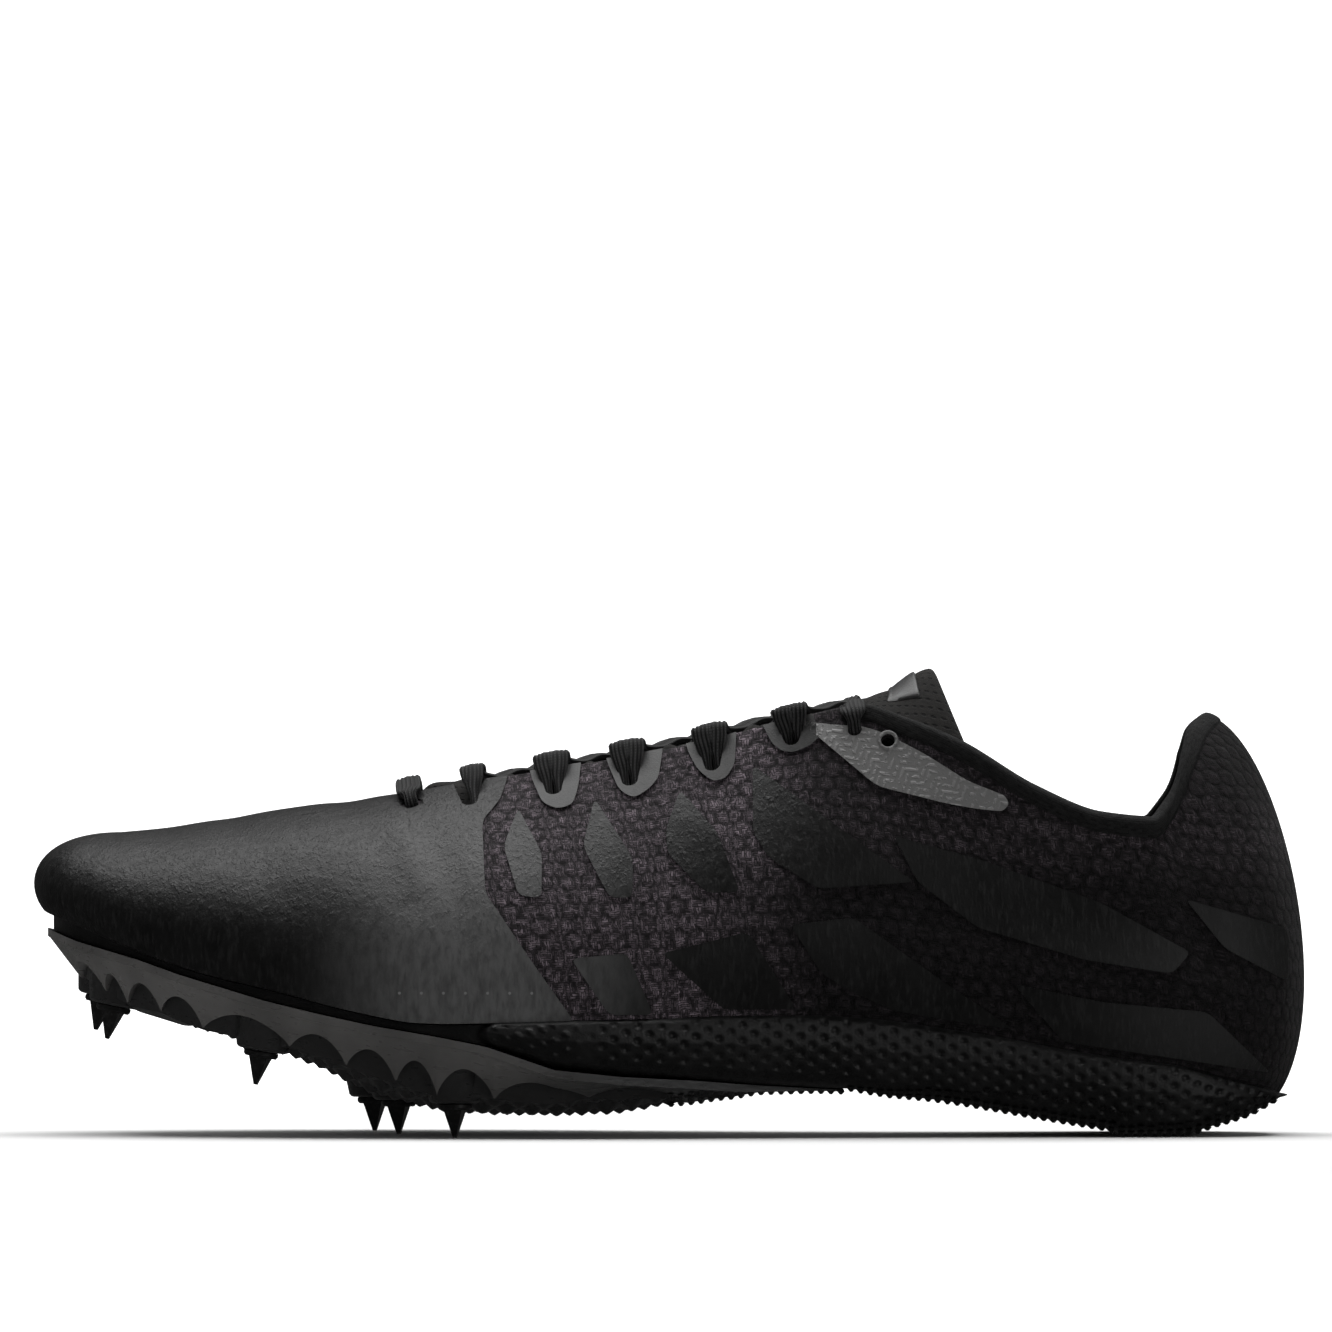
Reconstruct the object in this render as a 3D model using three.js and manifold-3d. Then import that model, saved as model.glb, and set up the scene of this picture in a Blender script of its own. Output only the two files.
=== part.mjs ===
// A left track spike shoe: knitted upper with thin film overlays, laced throat, a soft
// heel unit, and a moulded spike plate with seven pins under the forefoot.
// Millimetres. The toe points along -X, the outer side of the foot is -Y, and Z is up.
// The origin is on the floor, in the middle of the flat spot under the heel.
import * as THREE from 'three';
import Module from 'manifold-3d';

const wasm = await Module();
wasm.setup();

// Main sizes of the shoe.
const LENGTH = 285; // toe tip to the back of the heel
const BALL_WIDTH = 93; // width that the outline's shares are taken from
const HEEL_HEIGHT = 94.3; // floor to the top of the heel tab
const HEEL_SETBACK = 32.2; // back of the heel to the middle of the heel's flat spot
const TOE_ROUND = 34; // how far behind the toe tip the outline turns about one point
const HEEL_ROUND = 26; // the same at the back of the heel

// Walls, layers and clearances.
const WALL = 1.6; // knitted wall over the foot
const COLLAR_WALL = 3.8; // padded wall at the collar's edge
const RIM_ROUND = 0.65; // how far the edge of a wall swells, as a share of half its thickness
const GAP = 0.3; // clearance between pieces that touch on the real shoe
const SEAT_GAP = 0.4; // clearance under the upper's edge, whose facets cross the seat's
const FILM = 0.6; // film overlays
const STAY = 0.9; // eyestay layer
const INSOLE = 2.6;
const TONGUE_FRONT = 2.0; // tongue thickness under the laces
const TONGUE_TOP = 4.6; // tongue thickness at its padded end

// Lacing sizes.
const NOTCH_WIDTH = 4.4;
const NOTCH_DEPTH = 6.6;
const EYELET_HOLE = 3.2; // diameter of the closed lace holes
const LACE_WIDTH = 6.4;
const LACE_THICKNESS = 1.6;

// Sole sizes.
const PLATE_RIM = 1.8; // height of the plate's upright rim
const PLATE_INSET = 0.5; // rim inside the upper's edge
const MIDSOLE_RECESS = 1.8; // the thin front layer stands this far inside the plate's rim
const MIDSOLE_FLANGE = 0.9; // the heel unit stands this far outside the upper's edge
const PIN_LENGTH = 7.4; // from its boss to the tip
const PIN_BASE = 5.2; // diameter across the pin's base
const PIN_TIP = 1.5; // diameter of the flat tip
const FLANGE_RADIUS = 3.9; // collar at the root of each pin
const FLANGE_HEIGHT = 1.5;

const TOE_X = HEEL_SETBACK - LENGTH;
const HEEL_X = HEEL_SETBACK;

// The last, as one row for each rib from the toe tip round the outside to the heel.
// along: place of the rib's foot, a share of LENGTH from the toe tip
// out, inn: outline on the outer and inner side of the foot, shares of BALL_WIDTH
// foot: height of the rib's foot, a share of HEEL_HEIGHT
// topAlong, topHeight: the rib's upper end, in the same shares
// half: half width of the throat or collar there, a share of BALL_WIDTH
// ridge: sideways place of the middle line, a share of BALL_WIDTH towards the big toe
// leanOut, leanInn: how far the wall leans outwards at its foot, in degrees
// low, high: reach of the wall's two tangents, as shares of the rib's chord
// tilt: slope of the wall at its upper end, in degrees (0 lies flat, 90 stands up)
// turn: direction that the upper end faces, in degrees from the toe
const RIB_COLUMNS = ['along', 'out', 'inn', 'foot', 'topAlong', 'topHeight', 'half', 'ridge',
  'leanOut', 'leanInn', 'low', 'high', 'tilt', 'turn'];
const RIB_TABLE = [
  [0.010, -0.108, 0.108, 0.535, 0.070, 0.716, 0.000, 0.100, 40, 40, 0.33, 0.80, 0, 0],
  [0.014, -0.010, 0.204, 0.530, 0.070, 0.716, 0.000, 0.100, 38, 38, 0.33, 0.78, 0, 32],
  [0.027, 0.100, 0.274, 0.516, 0.070, 0.716, 0.000, 0.100, 34, 34, 0.33, 0.70, 0, 55],
  [0.051, 0.183, 0.339, 0.487, 0.070, 0.716, 0.000, 0.100, 28, 26, 0.34, 0.58, 0, 75],
  [0.089, 0.263, 0.409, 0.439, 0.105, 0.726, 0.000, 0.092, 22, 20, 0.35, 0.50, 0, 88],
  [0.141, 0.339, 0.457, 0.387, 0.147, 0.747, 0.000, 0.080, 18, 16, 0.36, 0.45, 0, 90],
  [0.196, 0.398, 0.487, 0.348, 0.197, 0.771, 0.000, 0.064, 15, 13, 0.36, 0.42, 0, 90],
  [0.251, 0.446, 0.498, 0.305, 0.247, 0.792, 0.000, 0.045, 13, 12, 0.37, 0.40, 0, 90],
  [0.306, 0.484, 0.491, 0.274, 0.292, 0.809, 0.000, 0.030, 11, 12, 0.38, 0.38, 0, 90],
  [0.330, 0.493, 0.478, 0.272, 0.298, 0.811, 0.066, 0.024, 11, 13, 0.38, 0.37, 14, 90],
  [0.366, 0.501, 0.462, 0.274, 0.346, 0.838, 0.118, 0.018, 11, 15, 0.39, 0.36, 26, 90],
  [0.429, 0.495, 0.409, 0.279, 0.409, 0.869, 0.136, 0.012, 12, 18, 0.40, 0.36, 32, 90],
  [0.492, 0.466, 0.344, 0.282, 0.472, 0.900, 0.148, 0.006, 14, 22, 0.40, 0.36, 38, 90],
  [0.555, 0.425, 0.290, 0.289, 0.537, 0.940, 0.160, 0.000, 16, 25, 0.40, 0.36, 44, 90],
  [0.615, 0.385, 0.255, 0.289, 0.603, 0.990, 0.182, 0.000, 17, 26, 0.40, 0.36, 52, 90],
  [0.674, 0.353, 0.237, 0.277, 0.651, 1.017, 0.212, 0.000, 18, 25, 0.38, 0.34, 62, 90],
  [0.717, 0.335, 0.239, 0.258, 0.690, 0.979, 0.245, 0.000, 17, 22, 0.36, 0.32, 74, 90],
  [0.765, 0.325, 0.253, 0.236, 0.734, 0.919, 0.270, 0.000, 16, 18, 0.34, 0.30, 82, 90],
  [0.812, 0.322, 0.276, 0.208, 0.790, 0.816, 0.296, 0.000, 15, 15, 0.32, 0.30, 86, 90],
  [0.859, 0.323, 0.299, 0.186, 0.842, 0.752, 0.304, 0.000, 14, 14, 0.32, 0.30, 88, 92],
  [0.903, 0.311, 0.298, 0.169, 0.882, 0.740, 0.286, 0.000, 16, 16, 0.32, 0.30, 84, 100],
  [0.938, 0.274, 0.269, 0.141, 0.899, 0.797, 0.236, 0.000, 20, 20, 0.31, 0.28, 68, 118],
  [0.964, 0.215, 0.215, 0.122, 0.911, 0.905, 0.160, 0.000, 26, 26, 0.30, 0.24, 44, 145],
  [0.978, 0.145, 0.145, 0.110, 0.919, 0.971, 0.086, 0.000, 31, 31, 0.29, 0.22, 26, 164],
  [0.985, 0.000, 0.000, 0.098, 0.929, 1.000, 0.000, 0.000, 34, 34, 0.28, 0.20, 16, 180],
];
const ROWS = RIB_TABLE.length - 1;
const RING = 2 * ROWS;
const POLE_ROW = 3; // ribs up to this row meet in one point on the toe
const THROAT_ROW = 8; // the throat opens behind this row
const CORNER_ROW = 15; // the throat turns into the collar here
const RIB_STEPS = 2; // ribs for each row of the table
const WALL_STEPS = 6; // facets from foot to top

// Smooth curve through a column of values on a closed ring, with no overshoot.
function ringCurve(values, place) {
  const count = values.length;
  const at = (i) => values[((i % count) + count) % count];
  const slope = (i) => {
    const before = at(i) - at(i - 1);
    const after = at(i + 1) - at(i);
    return before * after <= 0 ? 0 : (2 * before * after) / (before + after);
  };
  const start = Math.floor(place);
  const u = place - start;
  const a = at(start);
  const b = at(start + 1);
  const bend = u * u * (3 - 2 * u);
  return a + (b - a) * bend
    + slope(start) * u * (1 - u) * (1 - u) - slope(start + 1) * u * u * (1 - u);
}

// The rib table as a ring: outer side from toe to heel, then inner side back to the toe.
function ringRow(index) {
  const outer = index <= ROWS;
  const row = RIB_TABLE[outer ? index : RING - index];
  const value = Object.fromEntries(RIB_COLUMNS.map((name, column) => [name, row[column]]));
  const side = outer ? -1 : 1;
  const ends = index === 0 || index === ROWS;
  return {
    footX: TOE_X + value.along * LENGTH,
    footY: (outer ? -value.out : value.inn) * BALL_WIDTH,
    middleY: (value.inn - value.out) * BALL_WIDTH / 2,
    footZ: value.foot * HEEL_HEIGHT,
    topX: TOE_X + value.topAlong * LENGTH,
    ridgeY: value.ridge * BALL_WIDTH,
    halfY: ends ? 0 : side * value.half * BALL_WIDTH,
    topZ: value.topHeight * HEEL_HEIGHT,
    lean: THREE.MathUtils.degToRad(outer ? value.leanOut : value.leanInn),
    low: value.low,
    high: value.high,
    tilt: THREE.MathUtils.degToRad(value.tilt),
    turn: THREE.MathUtils.degToRad(value.turn) * (outer ? 1 : -1) + (outer ? 0 : 2 * Math.PI),
  };
}

const ring = Array.from({ length: RING }, (unused, index) => ringRow(index));
const ringColumns = Object.fromEntries(
  Object.keys(ring[0]).map((name) => [name, ring.map((row) => row[name])]));

function ringValue(name, place) {
  return ringCurve(ringColumns[name], place);
}

// The direction that the rib's upper end faces climbs all the way round the ring.
function topTurn(place) {
  const turns = [...ringColumns.turn, ringColumns.turn[0] + 2 * Math.PI];
  const start = Math.floor(place);
  return THREE.MathUtils.lerp(turns[start], turns[start + 1], place - start);
}

// Edge of the last's underside, and the direction from it towards the shoe's middle.
function footPoint(place) {
  return new THREE.Vector3(ringValue('footX', place), ringValue('footY', place),
    ringValue('footZ', place));
}

function inwards(place) {
  const foot = footPoint(place);
  const spineX = THREE.MathUtils.clamp(foot.x, TOE_X + TOE_ROUND, HEEL_X - HEEL_ROUND);
  const spine = new THREE.Vector3(spineX, ringValue('middleY', place), foot.z);
  return spine.sub(foot).normalize();
}

// One point of the upper's outside: place is round the ring, share is from foot to top.
function skinPoint(place, share) {
  const foot = footPoint(place);
  const topY = ringValue('ridgeY', place) + ringValue('halfY', place);
  const top = new THREE.Vector3(ringValue('topX', place), topY, ringValue('topZ', place));
  const chord = foot.distanceTo(top);
  const lean = ringValue('lean', place);
  const tilt = Math.max(0, ringValue('tilt', place));
  const turn = topTurn(place);
  const up = new THREE.Vector3(0, 0, 1);
  const lowHandle = inwards(place).multiplyScalar(-Math.sin(lean)).addScaledVector(up, Math.cos(lean));
  const highHandle = new THREE.Vector3(-Math.cos(turn), -Math.sin(turn), 0)
    .multiplyScalar(Math.cos(tilt)).addScaledVector(up, -Math.sin(tilt));
  const rib = new THREE.CubicBezierCurve3(
    foot,
    foot.clone().addScaledVector(lowHandle, chord * ringValue('low', place)),
    top.clone().addScaledVector(highHandle, chord * ringValue('high', place)),
    top);
  return rib.getPoint(share);
}

// Meshes are built from quads and turned into one closed solid. Corners closer together
// than JOIN_STEP are one corner.
const JOIN_STEP = 0.0002;

function keyOf(point) {
  return [point.x, point.y, point.z].map((v) => Math.round(v / JOIN_STEP)).join(',');
}

function solidFromFaces(faces) {
  const indexOf = new Map();
  const positions = [];
  const triangles = [];
  const vertex = (point) => {
    const key = keyOf(point);
    if (!indexOf.has(key)) {
      indexOf.set(key, positions.length / 3);
      positions.push(point.x, point.y, point.z);
    }
    return indexOf.get(key);
  };
  for (const face of faces) {
    const corners = face.map(vertex);
    for (let i = 1; i + 1 < corners.length; i += 1) {
      const [a, b, c] = [corners[0], corners[i], corners[i + 1]];
      if (a !== b && b !== c && c !== a) triangles.push([a, b, c]);
    }
  }
  const at = (i) => new THREE.Vector3(positions[3 * i], positions[3 * i + 1], positions[3 * i + 2]);
  const volume = triangles.reduce((sum, [a, b, c]) => sum + at(a).dot(at(b).cross(at(c))), 0);
  const facing = volume > 0 ? triangles : triangles.map(([a, b, c]) => [a, c, b]);
  const mesh = new wasm.Mesh({
    numProp: 3,
    vertProperties: new Float32Array(positions),
    triVerts: new Uint32Array(facing.flat()),
  });
  return new wasm.Manifold(mesh);
}

// A loft through closed loops that all have the same number of points. The two ends are
// closed by strips between the loop's two halves.
function loft(loops) {
  const faces = [];
  const count = loops[0].length;
  for (let row = 0; row + 1 < loops.length; row += 1) {
    for (let i = 0; i < count; i += 1) {
      const next = (i + 1) % count;
      faces.push([loops[row][i], loops[row][next], loops[row + 1][next], loops[row + 1][i]]);
    }
  }
  for (const [loop, flip] of [[loops[0], true], [loops.at(-1), false]]) {
    for (let i = 0; i + 1 < count / 2; i += 1) {
      const strip = [loop[i], loop[i + 1], loop[count - 2 - i], loop[count - 1 - i]];
      faces.push(flip ? strip.reverse() : strip);
    }
  }
  return solidFromFaces(faces);
}

function solidFromGeometry(geometry, matrix = new THREE.Matrix4()) {
  const flat = geometry.index ? geometry.toNonIndexed() : geometry;
  const position = flat.getAttribute('position');
  const faces = [];
  for (let i = 0; i < position.count; i += 3) {
    faces.push([0, 1, 2].map((k) => new THREE.Vector3()
      .fromBufferAttribute(position, i + k).applyMatrix4(matrix)));
  }
  return solidFromFaces(faces);
}

// Grid of the upper's outside, with one normal for each point, and shells cut from it.
function skinGrid(alongSteps, wallSteps) {
  const points = [];
  for (let i = 0; i < RING * alongSteps; i += 1) {
    const place = i / alongSteps;
    points.push(Array.from({ length: wallSteps + 1 },
      (unused, j) => skinPoint(place, j / wallSteps)));
  }
  const sums = new Map();
  const addNormal = (corners) => {
    const across = corners[2].clone().sub(corners[0]);
    const other = corners[3].clone().sub(corners[1]);
    const normal = across.cross(other);
    for (const corner of corners) {
      const key = keyOf(corner);
      if (!sums.has(key)) sums.set(key, new THREE.Vector3());
      sums.get(key).add(normal);
    }
  };
  for (let i = 0; i < points.length; i += 1) {
    const next = points[(i + 1) % points.length];
    for (let j = 0; j < wallSteps; j += 1) {
      addNormal([points[i][j], next[j], next[j + 1], points[i][j + 1]]);
    }
  }
  const normals = points.map((rib) => rib.map((point) => sums.get(keyOf(point)).clone().normalize()));
  return { points, normals };
}

const skin = skinGrid(RIB_STEPS, WALL_STEPS);

// A shell between two distances from the skin. Both are functions of rib and wall share.
function skinShell(near, far) {
  const offset = (i, j, distance) => skin.points[i][j].clone()
    .addScaledVector(skin.normals[i][j], distance(i / RIB_STEPS, j / WALL_STEPS));
  const count = skin.points.length;
  const faces = [];
  for (let i = 0; i < count; i += 1) {
    const next = (i + 1) % count;
    for (let j = 0; j < WALL_STEPS; j += 1) {
      faces.push([offset(i, j, far), offset(next, j, far),
        offset(next, j + 1, far), offset(i, j + 1, far)]);
      faces.push([offset(i, j, near), offset(i, j + 1, near),
        offset(next, j + 1, near), offset(next, j, near)]);
    }
    faces.push([offset(i, 0, near), offset(next, 0, near), offset(next, 0, far), offset(i, 0, far)]);
    const openTop = Math.max(ringFold(i / RIB_STEPS), ringFold(next / RIB_STEPS)) > THROAT_ROW;
    if (openTop) {
      const rim = (k) => roundRim(offset(k, WALL_STEPS, far), offset(k, WALL_STEPS, near),
        offset(k, WALL_STEPS - 1, far), ringFold(k / RIB_STEPS) > THROAT_ROW ? RIM_ROUND : 0);
      const here = rim(i);
      const there = rim(next);
      for (let k = 0; k + 1 < here.length; k += 1) {
        faces.push([here[k], there[k], there[k + 1], here[k + 1]]);
      }
    }
  }
  return solidFromFaces(faces);
}

// The nearest row of the rib table, counted from the toe on either side.
function ringFold(place) {
  return place <= ROWS ? place : RING - place;
}

// Rounded edge from the outside of a wall to its inside. The two sides share one flat rim
// where the throat begins.
function roundRim(outside, inside, below, roundness) {
  const radius = outside.distanceTo(inside) / 2;
  const rise = outside.clone().sub(below).setLength(radius * roundness);
  return [outside, outside.clone().lerp(inside, 0.5).add(rise), inside];
}

// Wall thickness: thin over the foot, padded towards the edge of the collar.
function wallAt(place, share) {
  const row = ringFold(place);
  const collar = THREE.MathUtils.smoothstep(row, CORNER_ROW - 1, CORNER_ROW + 2);
  const height = THREE.MathUtils.smoothstep(share, 0.45, 0.9);
  return THREE.MathUtils.lerp(WALL, COLLAR_WALL, collar * height);
}

// Place and directions on the upper's wall, for notches, holes and the tongue's flanks.
// row: place along the rib table; side: -1 outer, +1 inner
const FRAME_STEP = 0.02; // rows and shares between the points that give the directions

function edgeFrame(row, side, share) {
  const place = side < 0 ? row : RING - row;
  const origin = skinPoint(place, share);
  const down = skinPoint(place, share - FRAME_STEP).sub(origin).normalize();
  const along = skinPoint(place - side * FRAME_STEP, share).sub(origin).normalize();
  const normal = along.clone().cross(down).multiplyScalar(side).normalize();
  const across = down.clone().cross(normal);
  const matrix = new THREE.Matrix4().makeBasis(across, down, normal).setPosition(origin);
  return { origin, normal, matrix };
}

// A prism with a U outline, open at the top, used for the notches.
const CURVE_STEPS = 4; // facets in half a turn of a notch
const HOLE_SIDES = 8;

function notchSolid(row, side, width, depth, reach) {
  const radius = width / 2;
  const shape = new THREE.Shape();
  shape.moveTo(-radius, -depth);
  shape.lineTo(radius, -depth);
  shape.lineTo(radius, depth - radius);
  shape.absarc(0, depth - radius, radius, 0, Math.PI, false);
  shape.lineTo(-radius, -depth);
  const geometry = new THREE.ExtrudeGeometry(shape,
    { depth: 2 * reach, bevelEnabled: false, curveSegments: CURVE_STEPS });
  geometry.translate(0, 0, -reach);
  return solidFromGeometry(geometry, edgeFrame(row, side, 1).matrix);
}

function holeSolid(row, side, share, diameter, reach) {
  const geometry = new THREE.CylinderGeometry(diameter / 2, diameter / 2, 2 * reach, HOLE_SIDES);
  geometry.rotateX(Math.PI / 2);
  return solidFromGeometry(geometry, edgeFrame(row, side, share).matrix);
}

// Lace holes: rows of the rib table where the notches and the closed holes sit.
const NOTCH_ROWS = [10.0, 11.05, 12.0, 13.0, 13.95];
const CLOSED_HOLES = [
  { row: 9.0, share: 0.93 },
  { row: 14.95, share: 0.92 },
  { row: 15.6, share: 0.91 },
];
const SIDES = [{ name: 'lateral', side: -1 }, { name: 'medial', side: 1 }];
const CUT_REACH = 6; // how far a cutting tool reaches to either side of the skin

function buildUpper() {
  let solid = skinShell((place, share) => -wallAt(place, share), () => 0);
  for (const { side } of SIDES) {
    for (const row of NOTCH_ROWS) {
      solid = solid.subtract(notchSolid(row, side, NOTCH_WIDTH, NOTCH_DEPTH, CUT_REACH));
    }
    for (const { row, share } of CLOSED_HOLES) {
      solid = solid.subtract(holeSolid(row, side, share, EYELET_HOLE, CUT_REACH));
    }
  }
  return solid;
}

// A point inside the shoe's edge; its height is worked out from its place along the shoe.
function edgePoint(place, inset, heightAt) {
  const point = footPoint(place).addScaledVector(inwards(place), inset);
  point.z = heightAt(point.x);
  return point;
}

// A sole piece: rows along the shoe, each a loop of levels down the outer side, then up
// the inner side. A level has its inset at a row, and its height at a place along X.
function soleSolid(rows, levels) {
  return loft(rows.map((row) => {
    const side = (place) => levels.map(({ inset, height }) => edgePoint(place, inset(row), height));
    return [...side(row), ...side(RING - row).reverse()];
  }));
}

function rowsBetween(first, last, step) {
  const count = Math.max(1, Math.round((last - first) / step));
  return Array.from({ length: count + 1 }, (unused, i) => first + (last - first) * i / count);
}

// Heights of the sole's lines, as shares of HEEL_HEIGHT at shares of LENGTH.
// rim: the plate's upper rim, and the heel unit's underside behind it
// keel: lowest line along the middle
const SOLE_TABLE = [
  { along: 0.006, rim: 0.501, keel: 0.420 },
  { along: 0.039, rim: 0.463, keel: 0.355 },
  { along: 0.087, rim: 0.422, keel: 0.292 },
  { along: 0.120, rim: 0.387, keel: 0.262 },
  { along: 0.187, rim: 0.327, keel: 0.205 },
  { along: 0.227, rim: 0.298, keel: 0.160 },
  { along: 0.270, rim: 0.270, keel: 0.098 },
  { along: 0.323, rim: 0.243, keel: 0.056 },
  { along: 0.361, rim: 0.220, keel: 0.048 },
  { along: 0.414, rim: 0.165, keel: 0.046 },
  { along: 0.467, rim: 0.148, keel: 0.052 },
  { along: 0.520, rim: 0.139, keel: 0.080 },
  { along: 0.575, rim: 0.126, keel: 0.103 },
  { along: 0.646, rim: 0.114, keel: 0.100 },
  { along: 0.676, rim: 0.097, keel: 0.097 },
  { along: 0.739, rim: 0.068, keel: 0.068 },
  { along: 0.803, rim: 0.033, keel: 0.033 },
  { along: 0.850, rim: 0.010, keel: 0.010 },
  { along: 0.857, rim: -0.002, keel: -0.002 },
  { along: 0.910, rim: -0.002, keel: -0.002 },
  { along: 0.929, rim: 0.016, keel: 0.016 },
  { along: 0.960, rim: 0.043, keel: 0.043 },
  { along: 0.985, rim: 0.080, keel: 0.080 },
];

function soleHeight(name, x) {
  const share = (x - TOE_X) / LENGTH;
  const last = SOLE_TABLE.length - 1;
  let i = 0;
  while (i < last - 1 && SOLE_TABLE[i + 1].along < share) i += 1;
  const a = SOLE_TABLE[i];
  const b = SOLE_TABLE[i + 1];
  const u = THREE.MathUtils.clamp((share - a.along) / (b.along - a.along), 0, 1);
  return Math.max(0, THREE.MathUtils.lerp(a[name], b[name], u)) * HEEL_HEIGHT;
}

function rowX(row) {
  return ringValue('footX', row);
}

// Height of the sole's upper face, on which the upper and the insole stand.
function seatHeight(x) {
  return ringValue('footZ', rowAt(x)) - SEAT_GAP;
}

// The row of the rib table whose foot stands at a place along the shoe, found by halving.
const HALVINGS = 30;

function rowAt(x) {
  let low = 0;
  let high = ROWS;
  for (let step = 0; step < HALVINGS; step += 1) {
    const middle = (low + high) / 2;
    if (rowX(middle) < x) low = middle;
    else high = middle;
  }
  return (low + high) / 2;
}

function rowAtShare(along) {
  return rowAt(TOE_X + along * LENGTH);
}

// Midsole: a thin recessed layer over the spike plate, which turns into the full heel unit
// behind the ball of the foot. The heel unit's front end is at HEEL_UNIT_START.
const HEEL_UNIT_START = 0.358; // share of LENGTH
const HEEL_UNIT_BLEND = 0.010; // share of LENGTH over which its front end rounds off
const HEEL_UNIT_BULGE = 1.0; // how far the side wall swells
const HEEL_UNIT_TUCK = 0.6; // how far the side wall draws in above the tread
const BULGE_LEVEL = 0.62; // share of the side wall's height
const TUCK_LEVEL = 0.2;
const SOLE_STEP = 0.5; // rows of the rib table between two sections of a sole piece
const BLEND_STEP = 0.08;
const HEEL_UNIT_TREAD = 7; // how far the tread stands inside the side wall

function buildMidsole() {
  const unit = (row) => THREE.MathUtils.smoothstep((rowX(row) - TOE_X) / LENGTH,
    HEEL_UNIT_START - HEEL_UNIT_BLEND / 2, HEEL_UNIT_START + HEEL_UNIT_BLEND / 2);
  const side = (row) => THREE.MathUtils.lerp(MIDSOLE_RECESS, -MIDSOLE_FLANGE, unit(row));
  const bottom = (x) => soleHeight('rim', x);
  const between = (share) => (x) => THREE.MathUtils.lerp(bottom(x), seatHeight(x), share);
  const levels = [
    { inset: side, height: seatHeight },
    { inset: (row) => side(row) - HEEL_UNIT_BULGE * unit(row), height: between(BULGE_LEVEL) },
    { inset: (row) => side(row) + HEEL_UNIT_TUCK * unit(row), height: between(TUCK_LEVEL) },
    { inset: (row) => side(row) + HEEL_UNIT_TUCK + HEEL_UNIT_TREAD * unit(row), height: bottom },
  ];
  const before = rowAtShare(HEEL_UNIT_START - HEEL_UNIT_BLEND);
  const after = rowAtShare(HEEL_UNIT_START + HEEL_UNIT_BLEND);
  const rows = [...rowsBetween(0, before, SOLE_STEP), ...rowsBetween(before, after, BLEND_STEP).slice(1),
    ...rowsBetween(after, ROWS, SOLE_STEP).slice(1)];
  return soleSolid(rows, levels);
}

// The plate's side wall is scalloped: it comes down in ridges with hollow arches between.
// along: place of the ridge; drop: how far it reaches below the rim, a share of HEEL_HEIGHT
// inset: how far it stands inside the rim, a share of BALL_WIDTH
const RIDGE_TABLE = [
  { along: 0.014, drop: 0.086, inset: 0.090 },
  { along: 0.046, drop: 0.105, inset: 0.075 },
  { along: 0.068, drop: 0.118, inset: 0.075 },
  { along: 0.101, drop: 0.108, inset: 0.080 },
  { along: 0.138, drop: 0.115, inset: 0.085 },
  { along: 0.207, drop: 0.098, inset: 0.085 },
  { along: 0.251, drop: 0.112, inset: 0.095 },
  { along: 0.290, drop: 0.130, inset: 0.100 },
  { along: 0.322, drop: 0.142, inset: 0.100 },
  { along: 0.367, drop: 0.122, inset: 0.110 },
  { along: 0.441, drop: 0.060, inset: 0.130 },
  { along: 0.512, drop: 0.045, inset: 0.140 },
  { along: 0.575, drop: 0.028, inset: 0.140 },
  { along: 0.640, drop: 0.010, inset: 0.120 },
];
const ARCH_RISE = 0.5; // how far an arch climbs back towards the rim, a share of the drop
const ARCH_HOLLOW = 2.6; // how far an arch is hollowed in
const RIDGE_STEPS = 3;

function ridgeAt(x) {
  const share = (x - TOE_X) / LENGTH;
  const last = RIDGE_TABLE.length - 1;
  let i = 0;
  while (i < last - 1 && RIDGE_TABLE[i + 1].along < share) i += 1;
  const a = RIDGE_TABLE[i];
  const b = RIDGE_TABLE[i + 1];
  const u = THREE.MathUtils.clamp((share - a.along) / (b.along - a.along), 0, 1);
  const arch = share < RIDGE_TABLE[0].along ? 0 : Math.sin(Math.PI * u);
  const drop = THREE.MathUtils.lerp(a.drop, b.drop, u) * (1 - ARCH_RISE * arch);
  const inset = THREE.MathUtils.lerp(a.inset, b.inset, u) * BALL_WIDTH;
  return { drop: drop * HEEL_HEIGHT, inset: inset + ARCH_HOLLOW * arch };
}

// Pins: seat is the height of the pin's root, across is from the middle line towards the
// big toe, tilt turns the pin's tip towards the toe in degrees.
const PIN_SEAT = (PIN_LENGTH + GAP) / HEEL_HEIGHT;
const PIN_TABLE = [
  { name: 'toe_medial', along: 0.054, across: 0.205, seat: 0.325, tilt: 12 },
  { name: 'toe_lateral', along: 0.066, across: -0.050, seat: 0.308, tilt: 12 },
  { name: 'fore_medial', along: 0.178, across: 0.350, seat: 0.204, tilt: 10 },
  { name: 'fore_lateral', along: 0.184, across: -0.260, seat: 0.204, tilt: 10 },
  { name: 'ball_medial', along: 0.269, across: 0.360, seat: PIN_SEAT, tilt: 0 },
  { name: 'ball_centre', along: 0.290, across: 0.020, seat: PIN_SEAT, tilt: 0 },
  { name: 'ball_lateral', along: 0.336, across: -0.350, seat: PIN_SEAT, tilt: 0 },
];
const BOSS_RADIUS = 5.4;
const BOSS_SPREAD = 2.2; // how much wider the boss is at its root
const BOSS_HEIGHT = 9;

const BOSS_SIDES = 10;
const PIN_SIDES = 8;
const FLANGE_TAPER = 0.86; // lower radius of the flange, a share of its upper one
const PIN_CLEARANCE = 1.3; // room round the flange
const ROOM_SPREAD = 1.5; // how much wider the room is at its lower end
const ROOM_DEPTH = 12; // past the tip, so that the plate leaves the whole pin free

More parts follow.
